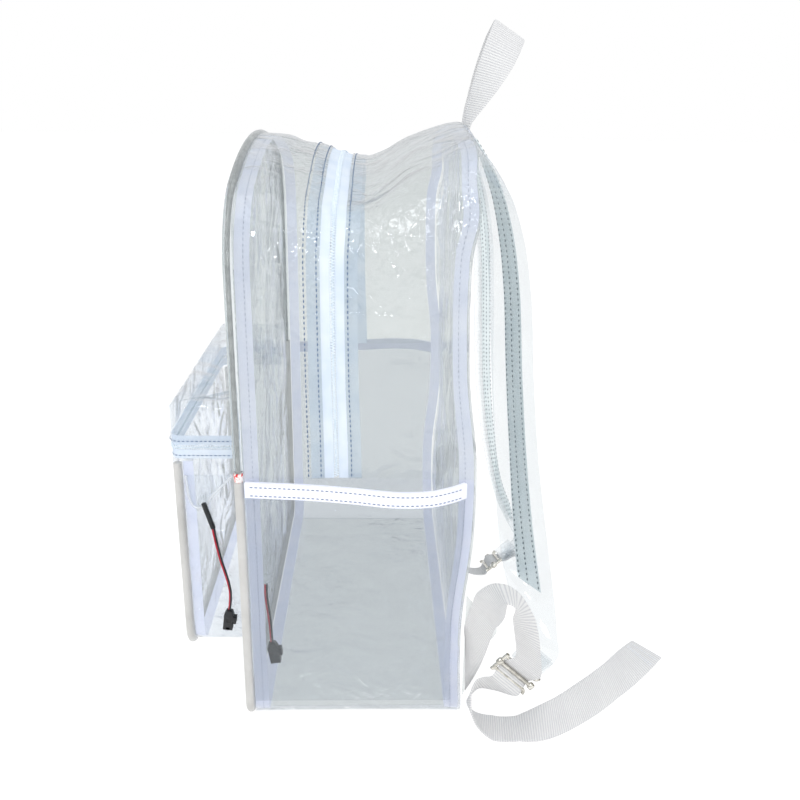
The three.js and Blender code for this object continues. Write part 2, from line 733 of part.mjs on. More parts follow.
// Leads. Each route is the line that the pair of wires follows.
const pocketLeadRoute = [
  [110.9, -99.2, 125.6],
  [110.9, -98.3, 118.5],
  [110.9, -96.9, 109.5],
  [111.0, -95.0, 99.5],
  [111.2, -92.8, 91.0],
  [111.3, -91.0, 83.0],
  [111.3, -89.9, 75.0],
  [111.3, -90.2, 67.0],
  [111.2, -91.2, 59.5],
];
const bagLeadRoute = [
  [153.4, -58.0, 107.0],
  [153.2, -58.2, 101.0],
  [152.9, -58.0, 94.0],
  [152.4, -57.4, 87.0],
  [151.9, -56.8, 80.0],
  [151.4, -56.4, 73.0],
  [151.1, -56.2, 66.0],
  [150.9, -56.0, 60.0],
];
const toPoint = ([x, y, z]) => new THREE.Vector3(x, y, z);
const pocketLead = pocketLeadRoute.map(toPoint);
const bagLead = bagLeadRoute.map(toPoint);
addPiece('pocket_lead', tube(pocketLead, leadRadius, leadSides), finishes.wire);
addPiece('bag_lead', tube(bagLead, leadRadius, leadSides), finishes.wire);

// Black sleeve that carries the pocket lead out from under the tab
const sleeveEnd = pocketLead[0].clone().add(new THREE.Vector3(0, -gap * 0.2, gap));
const sleeveDirection = new THREE.Vector3(0.01, -0.27, 0.96);
const sleeveStart = sleeveEnd.clone().addScaledVector(sleeveDirection, sleeveLength);
addPiece('lead_sleeve', tube([sleeveStart, sleeveEnd], sleeveRadius, pipeSides), finishes.black);

// Two-pin connector with a latch on one side and a forked mouth, hanging from a lead's end
const connectorRows = [
  { side: -0.6, drop: 0, latch: 0 },
  { side: 0.6, drop: 0, latch: 0 },
  { side: 0.6, drop: 0.22, latch: 0 },
  { side: 1, drop: 0.28, latch: 0 },
  { side: 1, drop: 0.2, latch: 1 },
  { side: 1, drop: 0.62, latch: 1 },
  { side: 1, drop: 0.7, latch: 0 },
  { side: 1, drop: 1, latch: 0 },
  { side: 0.45, drop: 1, latch: 0 },
  { side: 0.45, drop: 0.84, latch: 0 },
  { side: -0.45, drop: 0.84, latch: 0 },
  { side: -0.45, drop: 1, latch: 0 },
  { side: -1, drop: 1, latch: 0 },
  { side: -1, drop: 0.3, latch: 0 },
];
function connectorGeometry() {
  const corners = connectorRows.map(({ side, drop, latch }) => {
    const across = (side * connectorWidth) / 2 + latch * latchReach;
    return new THREE.Vector2(across, -drop * connectorLength);
  });
  const outline = new THREE.Shape(corners);
  const geometry = new THREE.ExtrudeGeometry(outline, { depth: connectorThickness, bevelEnabled: false });
  geometry.translate(0, 0, -connectorThickness / 2);
  geometry.rotateX(Math.PI / 2);
  geometry.rotateZ(Math.PI / 2);
  return geometry;
}

function addConnector(name, route, lean) {
  const geometry = connectorGeometry();
  geometry.rotateX(lean);
  const end = route[route.length - 1];
  geometry.translate(end.x, end.y, end.z - gap);
  addPiece(name, geometry, finishes.black);
}
addConnector('pocket_lead_connector', pocketLead, pocketLeadLean);
addConnector('bag_lead_connector', bagLead, bagLeadLean);

// Flat band through a table of sections { x, y, z, turn, tilt, width }: the band's width points
// along the direction given by turn (about +Z from +X) and tilt (above the floor), in degrees
function bandFrames(rows, perRow, lift = 0) {
  const line = rows.map((row) => new THREE.Vector3(row.x, row.y, row.z));
  const curve = new THREE.CatmullRomCurve3(line, false, 'centripetal');
  const widthAt = ({ turn, tilt }) => {
    const [a, b] = [THREE.MathUtils.degToRad(turn), THREE.MathUtils.degToRad(tilt)];
    return new THREE.Vector3(Math.cos(b) * Math.cos(a), Math.cos(b) * Math.sin(a), Math.sin(b));
  };
  const count = (rows.length - 1) * perRow;
  return Array.from({ length: count + 1 }, (_, k) => {
    const share = k / count;
    const low = Math.min(Math.floor(k / perRow), rows.length - 2);
    const blend = k / perRow - low;
    const ax = widthAt(rows[low]).lerp(widthAt(rows[low + 1]), blend).normalize();
    const ay = new THREE.Vector3().crossVectors(curve.getTangent(share), ax).normalize();
    const width = THREE.MathUtils.lerp(rows[low].width, rows[low + 1].width, blend);
    const origin = curve.getPoint(share).addScaledVector(ay, lift);
    return { origin, ax, ay, width };
  });
}

// Flat band through its frames, with its section cut at the given shares of the half width
function band(frames, thickness, cuts = [-1, 1]) {
  const h = thickness / 2;
  return loft(frames, (k) => {
    const w = frames[k].width / 2;
    const face = cuts.map((cut) => [cut * w, -h]);
    const rear = [...cuts].reverse().map((cut) => [cut * w, h]);
    return [...face, ...rear];
  });
}

// Grab loop of webbing, sewn to the top of the back panel and leaning back
const loopRows = [
  { spread: 1, lean: 0, rise: 0, turn: 0, tilt: 0 },
  { spread: 1, lean: 0.05, rise: 0.16, turn: 6, tilt: 0 },
  { spread: 1, lean: 0.32, rise: 0.4, turn: 30, tilt: -5 },
  { spread: 0.88, lean: 0.62, rise: 0.66, turn: 55, tilt: -14 },
  { spread: 0.6, lean: 0.86, rise: 0.88, turn: 76, tilt: -26 },
  { spread: 0, lean: 1, rise: 1, turn: 90, tilt: -32 },
];
const sewnPlane = backPlane + gap + webbingThickness / 2;
const loopFoot = backHeight - loopFootDrop;
const loopSection = (row, side) => ({
  x: side * row.spread * loopSpread,
  y: sewnPlane + row.lean * loopLean,
  z: loopFoot + row.rise * (loopHeight + loopFootDrop),
  turn: side > 0 ? row.turn : 180 - row.turn,
  tilt: row.tilt,
  width: webbingWidth,
});
const loopTable = [
  ...loopRows.map((row) => loopSection(row, 1)),
  ...loopRows.slice(0, -1).reverse().map((row) => loopSection(row, -1)),
];
addPiece('grab_loop', band(bandFrames(loopTable, 4), webbingThickness), finishes.webbing);

// Shoulder straps. Rows hold shares of the strap's spread, reach, the bag's height and the width.
const strapRows = [
  { spread: 1, reach: 0, rise: 0.98, turn: 0, breadth: 0.8 },
  { spread: 1.01, reach: 0.17, rise: 0.945, turn: 10, breadth: 0.9 },
  { spread: 1.04, reach: 0.37, rise: 0.89, turn: 18, breadth: 1 },
  { spread: 1.1, reach: 0.52, rise: 0.82, turn: 23, breadth: 1 },
  { spread: 1.16, reach: 0.63, rise: 0.73, turn: 25, breadth: 1 },
  { spread: 1.27, reach: 0.72, rise: 0.58, turn: 26, breadth: 1 },
];
const lowerRight = [
  { spread: 1.42, reach: 0.81, rise: 0.45, turn: 28, tilt: 0, breadth: 1 },
  { spread: 1.68, reach: 0.9, rise: 0.33, turn: 36, tilt: -6, breadth: 0.98 },
  { spread: 2.04, reach: 0.98, rise: 0.24, turn: 50, tilt: -16, breadth: 0.84 },
  { spread: 2.28, reach: 1.07, rise: 0.19, turn: 70, tilt: -27, breadth: 0.64 },
];
const lowerLeft = [
  { spread: 1.12, reach: 0.76, rise: 0.45, turn: 24, tilt: 2, breadth: 1 },
  { spread: 0.86, reach: 0.85, rise: 0.33, turn: 18, tilt: 6, breadth: 0.98 },
  { spread: 0.55, reach: 1, rise: 0.23, turn: 10, tilt: 8, breadth: 0.84 },
  { spread: 0.31, reach: 1.2, rise: 0.175, turn: 4, tilt: 12, breadth: 0.66 },
  { spread: 0.215, reach: 1.37, rise: 0.14, turn: 2, tilt: 16, breadth: 0.54 },
];

// A tri-glide's centre, the direction of its bars, and the direction towards its strap
const glides = {
  right: {
    centre: new THREE.Vector3(halfWidth + glideOut, backPlane + glideReach, glideHeight),
    bars: new THREE.Vector3(0, 0.734, -0.679),
    up: new THREE.Vector3(0, 0.679, 0.734),
  },
  left: {
    centre: new THREE.Vector3(-leftGlideIn, backPlane + leftGlideReach, leftGlideHeight),
    bars: new THREE.Vector3(-0.955, -0.05, -0.29),
    up: new THREE.Vector3(-0.15, 0.8, 0.58),
  },
};
for (const glide of Object.values(glides)) {
  glide.bars.normalize();
  glide.up.addScaledVector(glide.bars, -glide.up.dot(glide.bars)).normalize();
  glide.face = new THREE.Vector3().crossVectors(glide.bars, glide.up).normalize();
}

// Point given by a tri-glide's own axes
function onGlide(glide, along, up, out) {
  const point = glide.centre.clone().addScaledVector(glide.bars, along);
  return point.addScaledVector(glide.up, up).addScaledVector(glide.face, out);
}

function directionAngles(v) {
  const turn = THREE.MathUtils.radToDeg(Math.atan2(v.y, v.x));
  return { turn, tilt: THREE.MathUtils.radToDeg(Math.asin(v.z)) };
}

function strapTable(side, lowerRows, glide, barAngles) {
  const upper = [...strapRows, ...lowerRows].map((row) => ({
    x: side * row.spread * strapSpread,
    y: backPlane + gap + strapThickness / 2 + row.reach * strapReach,
    z: row.rise * backHeight,
    turn: side > 0 ? row.turn : 180 - row.turn,
    tilt: row.tilt ?? 0,
    width: row.breadth * strapWidth,
  }));
  const tailEnds = [keeperLength + glidePitch + collarLength, glidePitch + 2 * wireRadius + gap];
  const tail = tailEnds.map((up) => {
    const point = onGlide(glide, 0, up, 0);
    return { x: point.x, y: point.y, z: point.z, ...barAngles, width: keeperWidth };
  });
  return [...upper, ...tail];
}
const rightBars = directionAngles(glides.right.bars);
const leftBars = directionAngles(glides.left.bars);
const strapTables = {
  right: strapTable(1, lowerRight, glides.right, rightBars),
  left: strapTable(-1, lowerLeft, glides.left, leftBars),
};
const strapCuts = [-1, -0.4, 0, 0.4, 1];
const stripCuts = [-1, 0, 1];
const stripLift = (strapThickness + stripThickness) / 2 + seamGap;
for (const [word, rows] of Object.entries(strapTables)) {
  const stripRows = rows.slice(0, -3).map((row) => ({ ...row, width: stripWidth }));
  const away = word === 'right' ? -stripLift : stripLift;
  const strap = band(bandFrames(rows, 4), strapThickness, strapCuts);
  const strip = band(bandFrames(stripRows, 4, away), stripThickness, stripCuts);
  addPiece(`shoulder_strap_${word}`, strap, finishes.clear);
  addPiece(`strap_strip_${word}`, strip, finishes.webbing);
}

// Tri-glides: a wire frame with a centre bar whose collars ride on the frame's rails
function glideFrame() {
  const outline = (half, pitch, radius) => {
    const path = new THREE.Shape();
    path.moveTo(-half + radius, -pitch);
    path.lineTo(half - radius, -pitch);
    path.absarc(half - radius, -pitch + radius, radius, -Math.PI / 2, 0, false);
    path.lineTo(half, pitch - radius);
    path.absarc(half - radius, pitch - radius, radius, 0, Math.PI / 2, false);
    path.lineTo(-half + radius, pitch);
    path.absarc(-half + radius, pitch - radius, radius, Math.PI / 2, Math.PI, false);
    path.lineTo(-half, -pitch + radius);
    path.absarc(-half + radius, -pitch + radius, radius, Math.PI, 1.5 * Math.PI, false);
    return path;
  };
  const bevel = 0.4 * wireRadius;
  const flat = wireRadius - bevel;
  const shape = outline(glideSpan / 2 + flat, glidePitch + flat, 2 * wireRadius);
  shape.holes.push(outline(glideSpan / 2 - flat, glidePitch - flat, wireRadius));
  const settings = {
    depth: 2 * flat, bevelThickness: bevel, bevelSize: bevel, bevelSegments: 1, curveSegments: 3,
  };
  const geometry = new THREE.ExtrudeGeometry(shape, settings);
  geometry.translate(0, 0, -flat);
  return geometry;
}

function glideBar() {
  const bar = new THREE.CylinderGeometry(wireRadius, wireRadius, glideSpan, 10);
  bar.rotateZ(Math.PI / 2);
  let body = toManifold(bar);
  const railHole = wireRadius + gap;
  for (const side of [-1, 1]) {
    const collar = new THREE.CylinderGeometry(railHole + collarWall, railHole + collarWall, collarLength, 12);
    collar.translate((side * glideSpan) / 2, 0, 0);
    body = body.add(toManifold(collar));
  }
  for (const side of [-1, 1]) {
    const hole = new THREE.CylinderGeometry(railHole, railHole, 3 * collarLength, 12);
    hole.translate((side * glideSpan) / 2, 0, 0);
    body = body.subtract(toManifold(hole));
  }
  return fromManifold(body);
}

function placeOnGlide(geometry, glide) {
  const matrix = new THREE.Matrix4().makeBasis(glide.bars, glide.up, glide.face);
  matrix.setPosition(glide.centre);
  geometry.applyMatrix4(matrix);
  return geometry;
}

// Keeper: the strap's own end film, folded round the upper bar and sewn on both faces
function keeperFrames(glide) {
  const wrap = wireRadius + gap + keeperThickness / 2;
  const bends = 6;
  const places = [[glidePitch + keeperLength, -wrap]];
  for (let k = 0; k <= bends; k += 1) {
    const angle = -Math.PI / 2 - (Math.PI * k) / bends;
    places.push([glidePitch + wrap * Math.cos(angle), wrap * Math.sin(angle)]);
  }
  places.push([glidePitch + keeperLength, wrap]);
  const points = places.map(([up, out]) => onGlide(glide, 0, up, out));
  return points.map((origin, k) => {
    const ahead = points[Math.min(k + 1, points.length - 1)].clone();
    const along = ahead.sub(points[Math.max(k - 1, 0)]).normalize();
    const ax = glide.bars.clone();
    return { origin, ax, ay: along.cross(ax).normalize(), width: keeperWidth };
  });
}

for (const [word, glide] of Object.entries(glides)) {
  addPiece(`glide_frame_${word}`, placeOnGlide(glideFrame(), glide), finishes.metal);
  addPiece(`glide_bar_${word}`, placeOnGlide(glideBar(), glide), finishes.metal);
  addPiece(`strap_keeper_${word}`, band(keeperFrames(glide), keeperThickness), finishes.clear);
}

// Anchor tabs: film triangles sewn into the back seam, under the ends of the lower webbing
const anchorTabRows = [
  { reach: 0, rise: 0 },
  { reach: 0.66, rise: 0.5 },
  { reach: 1, rise: 0.66 },
  { reach: 0, rise: 1 },
];
function anchorTab(side) {
  const corners = anchorTabRows.map(({ reach, rise }) => {
    const out = backPlane + seamGap + reach * anchorTabReach;
    return new THREE.Vector2(out, anchorTabBottom + rise * anchorTabHeight);
  });
  const shape = new THREE.Shape(corners);
  const geometry = new THREE.ExtrudeGeometry(shape, { depth: film, bevelEnabled: false });
  geometry.rotateX(Math.PI / 2);
  geometry.rotateZ(Math.PI / 2);
  geometry.translate(side > 0 ? halfWidth - film : -halfWidth, 0, 0);
  return geometry;
}

// Webbing's way through a tri-glide: over its upper bar's keeper, under the centre bar and out
const threadOut = wireRadius + gap + keeperThickness + gap + webbingThickness / 2;
const threadIn = wireRadius + gap + webbingThickness / 2;
const threadRows = [
  { up: glidePitch, out: threadOut + gap },
  { up: glidePitch / 2, out: (threadOut - threadIn) / 2 + gap },
  { up: 0, out: -threadIn },
  { up: -glidePitch / 2, out: gap },
  { up: -glidePitch, out: threadIn + gap },
];
function threadSections(glide, angles, isReversed) {
  const rows = threadRows.map(({ up, out }) => {
    const point = onGlide(glide, 0, up, out);
    return { x: point.x, y: point.y, z: point.z, ...angles, width: webbingWidth };
  });
  return isReversed ? rows.reverse() : rows;
}

// A webbing section from a row whose reach and rise are shares. Sideways it lies out beyond the
// right side by webbing widths, or inward from the left side by a share of the way to the buckle.
function webbingRow(row, reach, height) {
  const rightPlace = halfWidth + row.out * webbingWidth;
  const leftPlace = -halfWidth + row.inward * (halfWidth - leftGlideIn);
  return {
    x: 'inward' in row ? leftPlace : rightPlace,
    y: backPlane + row.reach * reach,
    z: row.rise * height,
    turn: row.turn,
    tilt: row.tilt,
    width: (row.breadth ?? 1) * webbingWidth,
  };
}

// Lower webbing of the right side: anchor, arch, tri-glide and the free end on the floor
const archRows = [
  { out: 0.05, reach: 0.04, rise: 0.43, turn: 90, tilt: -88, breadth: 1.7 },
  { out: 0.052, reach: 0.2, rise: 0.62, turn: 90, tilt: -62, breadth: 1.2 },
  { out: 0.075, reach: 0.345, rise: 0.8, turn: 90, tilt: -50 },
  { out: 0.24, reach: 0.48, rise: 0.92, turn: 35, tilt: -24 },
  { out: 0.34, reach: 0.65, rise: 1, turn: 4, tilt: 0 },
  { out: 0.38, reach: 0.88, rise: 0.967, turn: -8, tilt: 4 },
  { out: 0.41, reach: 1.04, rise: 0.84, turn: -48, tilt: 22 },
  { out: 0.38, reach: 1.15, rise: 0.655, turn: -80, tilt: 40 },
];
const underRows = [
  { out: 0.22, reach: 0.51, rise: 0.835, turn: -48, tilt: 50 },
  { out: 0.26, reach: 0.27, rise: 0.835, turn: -17, tilt: 46 },
  { out: 0.42, reach: 0.115, rise: 0.6, turn: 0, tilt: 40 },
  { out: 0.46, reach: 0.235, rise: 0.26, turn: -3, tilt: 20 },
  { out: 0.5, reach: 0.58, rise: 0.065, turn: -6, tilt: 0 },
  { out: 0.54, reach: 1.06, rise: 0.068, turn: -3, tilt: 0 },
];
const endRows = [
  { out: 0.54, reach: 0.42, rise: 0.4, turn: 0, tilt: -33 },
  { out: -0.02, reach: 0.6, rise: 0.55, turn: 21, tilt: -37 },
  { out: -0.72, reach: 0.773, rise: 0.72, turn: 33, tilt: -50 },
  { out: -1.79, reach: 1, rise: 1, turn: 45, tilt: -6 },
];
const rightAngles = directionAngles(glides.right.bars.clone().negate());
const rightWebbing = [
  ...archRows.map((row) => webbingRow(row, glideReach, archHeight)),
  ...threadSections(glides.right, rightAngles, false),
  ...underRows.map((row) => webbingRow(row, glideReach, glideHeight)),
  ...endRows.map((row) => webbingRow(row, tailReach, tailTipHeight)),
];
addPiece('anchor_tab_right', anchorTab(1), finishes.clear);
addPiece('lower_webbing_right', band(bandFrames(rightWebbing, 3), webbingThickness), finishes.webbing);

// Lower webbing of the left side: drawn across the back to its tri-glide, with a short end
const crossRows = [
  { inward: -0.0084, reach: 0.04, rise: 0.43, turn: 90, tilt: -88, breadth: 1.7 },
  { inward: -0.0087, reach: 0.23, rise: 0.56, turn: 90, tilt: -72, breadth: 1.12 },
  { inward: -0.0101, reach: 0.62, rise: 0.6, turn: 90, tilt: -84 },
  { inward: 0.0604, reach: 0.87, rise: 0.617, turn: 135, tilt: -86 },
  { inward: 0.2148, reach: 0.95, rise: 0.58, turn: 180, tilt: -82 },
  { inward: 0.4161, reach: 0.9, rise: 0.505, turn: 180, tilt: -76 },
  { inward: 0.6376, reach: 0.76, rise: 0.41, turn: 180, tilt: -72 },
  { inward: 0.8121, reach: 0.58, rise: 0.31, turn: 172, tilt: -58 },
  { inward: 0.9329, reach: 0.48, rise: 0.235, turn: 172, tilt: -36 },
  { inward: 1, reach: 0.56, rise: 0.2, turn: 178, tilt: -20 },
];
const stubRows = [
  { inward: 0.9799, reach: 1.64, rise: 0.34, turn: -177, tilt: -17 },
  { inward: 0.9664, reach: 1.84, rise: 0.29, turn: -177, tilt: -17 },
  { inward: 0.953, reach: 1.94, rise: 0.2, turn: -177, tilt: -17 },
  { inward: 0.9463, reach: 1.97, rise: 0.1, turn: -177, tilt: -17 },
];
const leftWebbing = [
  ...crossRows.map((row) => webbingRow(row, glideReach, archHeight)),
  ...threadSections(glides.left, directionAngles(glides.left.bars), true),
  ...stubRows.map((row) => webbingRow(row, glideReach, archHeight)),
];
addPiece('anchor_tab_left', anchorTab(-1), finishes.clear);
addPiece('lower_webbing_left', band(bandFrames(leftWebbing, 3), webbingThickness), finishes.webbing);

export default bag;
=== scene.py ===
"""Finished look of a clear film backpack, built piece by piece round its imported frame."""
import logging
import math
from dataclasses import dataclass, field
from enum import Enum
from functools import cache
from typing import Callable, NamedTuple, Sequence

import bmesh
import bpy
from mathutils import Matrix, Vector, noise


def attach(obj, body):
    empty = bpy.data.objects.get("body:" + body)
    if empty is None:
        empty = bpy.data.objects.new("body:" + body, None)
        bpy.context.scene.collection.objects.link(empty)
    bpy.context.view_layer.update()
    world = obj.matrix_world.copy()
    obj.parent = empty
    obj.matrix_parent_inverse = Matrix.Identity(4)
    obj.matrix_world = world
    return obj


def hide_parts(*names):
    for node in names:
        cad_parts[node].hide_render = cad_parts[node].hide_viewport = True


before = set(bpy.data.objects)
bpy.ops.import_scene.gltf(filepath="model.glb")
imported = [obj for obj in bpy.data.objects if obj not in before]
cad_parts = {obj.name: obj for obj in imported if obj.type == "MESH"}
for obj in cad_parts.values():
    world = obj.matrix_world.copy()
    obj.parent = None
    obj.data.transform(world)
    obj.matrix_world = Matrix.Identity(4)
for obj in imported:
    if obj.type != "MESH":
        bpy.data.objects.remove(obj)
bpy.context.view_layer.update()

MM = 0.001
LOG = logging.getLogger("backpack")
UP = Vector((0, 0, 1))
Rows = list[list[Vector]]


def lerp(low: float, high: float, share: float) -> float:
    """Value between two others at a share of the way."""
    return low + (high - low) * share


def clamp(value: float, low: float = 0.0, high: float = 1.0) -> float:
    """Value held between two limits."""
    return max(low, min(high, value))


def ease(start: float, end: float, value: float) -> float:
    """Smooth step from 0 at start to 1 at end."""
    share = clamp((value - start) / (end - start))
    return share * share * (3 - 2 * share)


def between(start: float, end: float, pitch: float) -> list[float]:
    """Even places from start to end, about one pitch apart."""
    count = max(1, round(abs(end - start) / pitch))
    return [lerp(start, end, k / count) for k in range(count + 1)]


class Slot(Enum):
    """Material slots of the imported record."""

    CLEAR = "clear_film"
    TAPE = "tape"
    WEBBING = "webbing"
    PIPE = "light_pipe"
    CONDUIT = "conduit"
    LAMP = "lamp"
    METAL = "metal"
    BLACK = "black_plastic"
    WIRE = "wire"


class Side(Enum):
    """The two sides of the bag, by the sign of X."""

    RIGHT = 1
    LEFT = -1

    @property
    def word(self) -> str:
        """The side's name in a piece's name."""
        return self.name.lower()


class Table:
    """Short table of shares, read on a smooth line between its rows."""

    def __init__(self, *rows: tuple[float, float]) -> None:
        """Keeps the rows, each a place and the value there."""
        self.rows = rows

    def slope(self, k: int) -> float:
        """Slope of the line at row k."""
        low = self.rows[max(k - 1, 0)]
        high = self.rows[min(k + 1, len(self.rows) - 1)]
        return (high[1] - low[1]) / (high[0] - low[0])

    def at(self, place: float) -> float:
        """Value at a place, held level beyond the ends."""
        rows = self.rows
        if place <= rows[0][0]:
            return rows[0][1]
        if place >= rows[-1][0]:
            return rows[-1][1]
        k = next(i for i in range(len(rows) - 1) if rows[i + 1][0] > place)
        span = rows[k + 1][0] - rows[k][0]
        s = (place - rows[k][0]) / span
        rest = s * s * (3 - 2 * s)
        bend = span * (self.slope(k) * s * (1 - s) ** 2 - self.slope(k + 1) * s * s * (1 - s))
        return lerp(rows[k][1], rows[k + 1][1], rest) + bend


class Curve:
    """Centripetal Catmull-Rom line through points, one equal share for each span."""

    def __init__(self, points: Sequence[Vector]) -> None:
        """Keeps the points with one more beyond each end."""
        first = points[0] * 2 - points[1]
        last = points[-1] * 2 - points[-2]
        self.points = [first, *points, last]
        self.spans = len(points) - 1

    def at(self, share: float) -> Vector:
        """Point at a share of the spans."""
        place = clamp(share) * self.spans
        k = min(int(place), self.spans - 1)
        s = place - k
        p0, p1, p2, p3 = self.points[k:k + 4]
        d0, d1, d2 = (max((b - a).length ** 0.5, 1e-4) for a, b in ((p0, p1), (p1, p2), (p2, p3)))
        m1 = ((p1 - p0) / d0 - (p2 - p0) / (d0 + d1) + (p2 - p1) / d1) * d1
        m2 = ((p2 - p1) / d1 - (p3 - p1) / (d1 + d2) + (p3 - p2) / d2) * d1
        rest = s * s * (3 - 2 * s)
        return p1.lerp(p2, rest) + m1 * (s * (1 - s) ** 2) - m2 * (s * s * (1 - s))

    def tangent(self, share: float) -> Vector:
        """Direction of the line at a share of the spans."""
        step = 1e-4
        return (self.at(share + step) - self.at(share - step)).normalized()

    def evenly(self, pitch: float) -> list[Vector]:
        """Points along the line, about one pitch apart."""
        rough = [self.at(k / (12 * self.spans)) for k in range(12 * self.spans + 1)]
        length = sum((b - a).length for a, b in zip(rough, rough[1:]))
        return [self.at(s) for s in between(0, 1, pitch / length)]


class Station(NamedTuple):
    """A place on a panel's outline with the outward direction there."""

    x: float
    z: float
    nx: float
    nz: float


class Mark:
    """Places on a panel's outline, in its own count from the middle of the foot."""

    BEND = 1
    FOOT = 2
    SIDE = 5
    JOIN = 9
    CORNER = 13
    CROWN = 18
    TOP = 23
    WHOLE = 46


@dataclass(frozen=True)
class PanelOutline:
    """Outline of the front or back panel, up the right side and down the left, in millimetres."""

    height: float
    crown: float
    corner: float
    half: float = 157.0
    foot: float = 14.0
    join: float = 185.0
    bend_reach: float = 2.5

    @cache
    def at(self, t: float) -> Station:
        """Station at outline place t, from 0 at the foot's middle to Mark.WHOLE."""
        if t > Mark.TOP:
            other = self.at(Mark.WHOLE - t)
            return Station(-other.x, other.z, -other.nx, other.nz)
        low = self.height - self.crown
        reach = self.half - self.corner
        middle = low + math.sqrt((self.crown - self.corner) ** 2 - reach ** 2)
        turn = math.atan2(middle - low, reach)
        flat = self.half - self.bend_reach * self.foot
        if t < Mark.FOOT:
            x = flat * t if t < Mark.BEND else lerp(flat, self.half - self.foot, t - Mark.BEND)
            return Station(x, 0, 0, -1)
        if t < Mark.SIDE:
            angle = lerp(-math.pi / 2, 0, (t - Mark.FOOT) / (Mark.SIDE - Mark.FOOT))
            return self.round(self.half - self.foot, self.foot, self.foot, angle)
        if t < Mark.JOIN:
            share = ((t - Mark.SIDE) / (Mark.JOIN - Mark.SIDE)) ** 1.5
            return Station(self.half, lerp(self.foot, self.join, share), 1, 0)
        if t < Mark.CORNER:
            share = (t - Mark.JOIN) / (Mark.CORNER - Mark.JOIN)
            return Station(self.half, lerp(self.join, middle, share), 1, 0)
        if t < Mark.CROWN:
            angle = turn * (t - Mark.CORNER) / (Mark.CROWN - Mark.CORNER)
            return self.round(reach, middle, self.corner, angle)
        angle = lerp(turn, math.pi / 2, (t - Mark.CROWN) / (Mark.TOP - Mark.CROWN))
        return self.round(0, low, self.crown, angle)

    def round(self, x: float, z: float, radius: float, angle: float) -> Station:
        """Station on an arc about a middle."""
        nx, nz = math.cos(angle), math.sin(angle)
        return Station(x + radius * nx, z + radius * nz, nx, nz)

    def places(self, start: float, end: float, pitch: float) -> list[float]:
        """Outline places from start to end, about one pitch apart."""
        knots = [start, *range(math.floor(start) + 1, math.ceil(end)), end]
        places = []
        for low, high in zip(knots, knots[1:]):
            a, b = self.at(low), self.at(high)
            chord = max(math.hypot(b.x - a.x, b.z - a.z), 1)
            places += between(low, high, (high - low) * pitch / chord)[:-1]
        return [*places, end]

    def place_at(self, z: float) -> float:
        """Outline place on the right side at a height above the foot's bend."""
        low, high = float(Mark.SIDE), float(Mark.CORNER)
        for _ in range(40):
            middle = (low + high) / 2
            low, high = (middle, high) if self.at(middle).z < z else (low, middle)
        return low


@dataclass(frozen=True)
class BagForm:
    """Shape of the soft main compartment, in millimetres."""

    front: PanelOutline = PanelOutline(386, 350, 55)
    back: PanelOutline = PanelOutline(395, 900, 50)
    width: float = 314
    front_plane: float = -72
    back_plane: float = 75
    shell_front: float = -68.7
    shell_back: float = 73.5
    hollow: float = 3
    sag_right: float = 28
    sag_left: float = 16
    seam_wave: float = 5
    foot_lift: float = 2.3
    zip_middle: float = -11
    ripple_depth: float = 1.5
    ripple_span: float = 62
    ripple_bias: float = 0.2
    foot_slope: float = -0.2
    sag_rows: Table = Table((0, 0), (0.13, 0.14), (0.2, 0.36), (0.28, 0.48), (0.4, 0.78), (0.52, 1),
                            (0.63, 0.8), (0.71, 0.5), (0.8, 0.28), (0.94, 0.04), (1, 0))
    wave_rows: Table = Table((0, 0), (0.2, -0.4), (0.36, 0.7), (0.5, 0.6), (0.64, -0.7), (0.82, -1),
                             (0.89, -0.1), (0.94, -0.8), (1, -0.6))

    def wave(self, z: float) -> float:
        """How far the back seam stands off its straight line at a height."""
        return self.seam_wave * self.wave_rows.at(z / self.back.height)

    def across(self, y: float) -> float:
        """Share of the way from the front seam to the back one at a depth."""
        return (y - self.shell_front) / (self.shell_back - self.shell_front)

    def facing(self, t: float, y: float) -> Vector:
        """Outward direction of the shell at an outline place and depth."""
        across = self.across(y)
        a, b = self.front.at(t), self.back.at(t)
        return Vector((lerp(a.nx, b.nx, across), 0, lerp(a.nz, b.nz, across)))

    def point(self, t: float, y: float, inset: float = 0) -> Vector:
        """Point of the shell at an outline place and depth, moved in by inset."""
        across = self.across(y)
        a, b = self.front.at(t), self.back.at(t)
        x, z, nx, nz = (lerp(a[k], b[k], across) for k in range(4))
        upright = 1 - abs(nz)
        depth = lerp(self.sag_left, self.sag_right, x / self.width + 0.5)
        sag = depth * max(nz, 0) ** 1.5 * self.sag_rows.at(across)
        arch = math.sin(math.pi * clamp(across))
        hollow = self.hollow * upright * arch
        wave = self.wave(z) * upright * max(across, 0) ** 2
        rough = noise.noise(Vector((x, y, z)) / self.ripple_span) - self.ripple_bias
        ripple = 0 if nz < self.foot_slope else self.ripple_depth * arch * rough
        move = sag + hollow + inset - ripple
        return Vector((x - nx * move, y + wave, z - nz * move))


def deselect() -> None:
    """Leaves edit mode and clears the selection."""
    if bpy.context.mode != "OBJECT":
        bpy.ops.object.mode_set(mode="OBJECT")
    bpy.ops.object.select_all(action="DESELECT")


def activate(piece: bpy.types.Object) -> None:
    """Selects one piece alone and makes it active."""
    deselect()
    piece.select_set(True)
    bpy.context.view_layer.objects.active = piece


def apply_modifier(piece: bpy.types.Object, kind: str, **settings: object) -> None:
    """Adds a modifier with its settings and applies it."""
    activate(piece)
    modifier = piece.modifiers.new(kind.title(), kind)
    for key, value in settings.items():
        setattr(modifier, key, value)
    bpy.ops.object.modifier_apply(modifier=modifier.name)


def settle() -> None:
    """Applies the active piece's place, turn and scale to its mesh."""
    bpy.ops.object.transform_apply(location=True, rotation=True, scale=True)


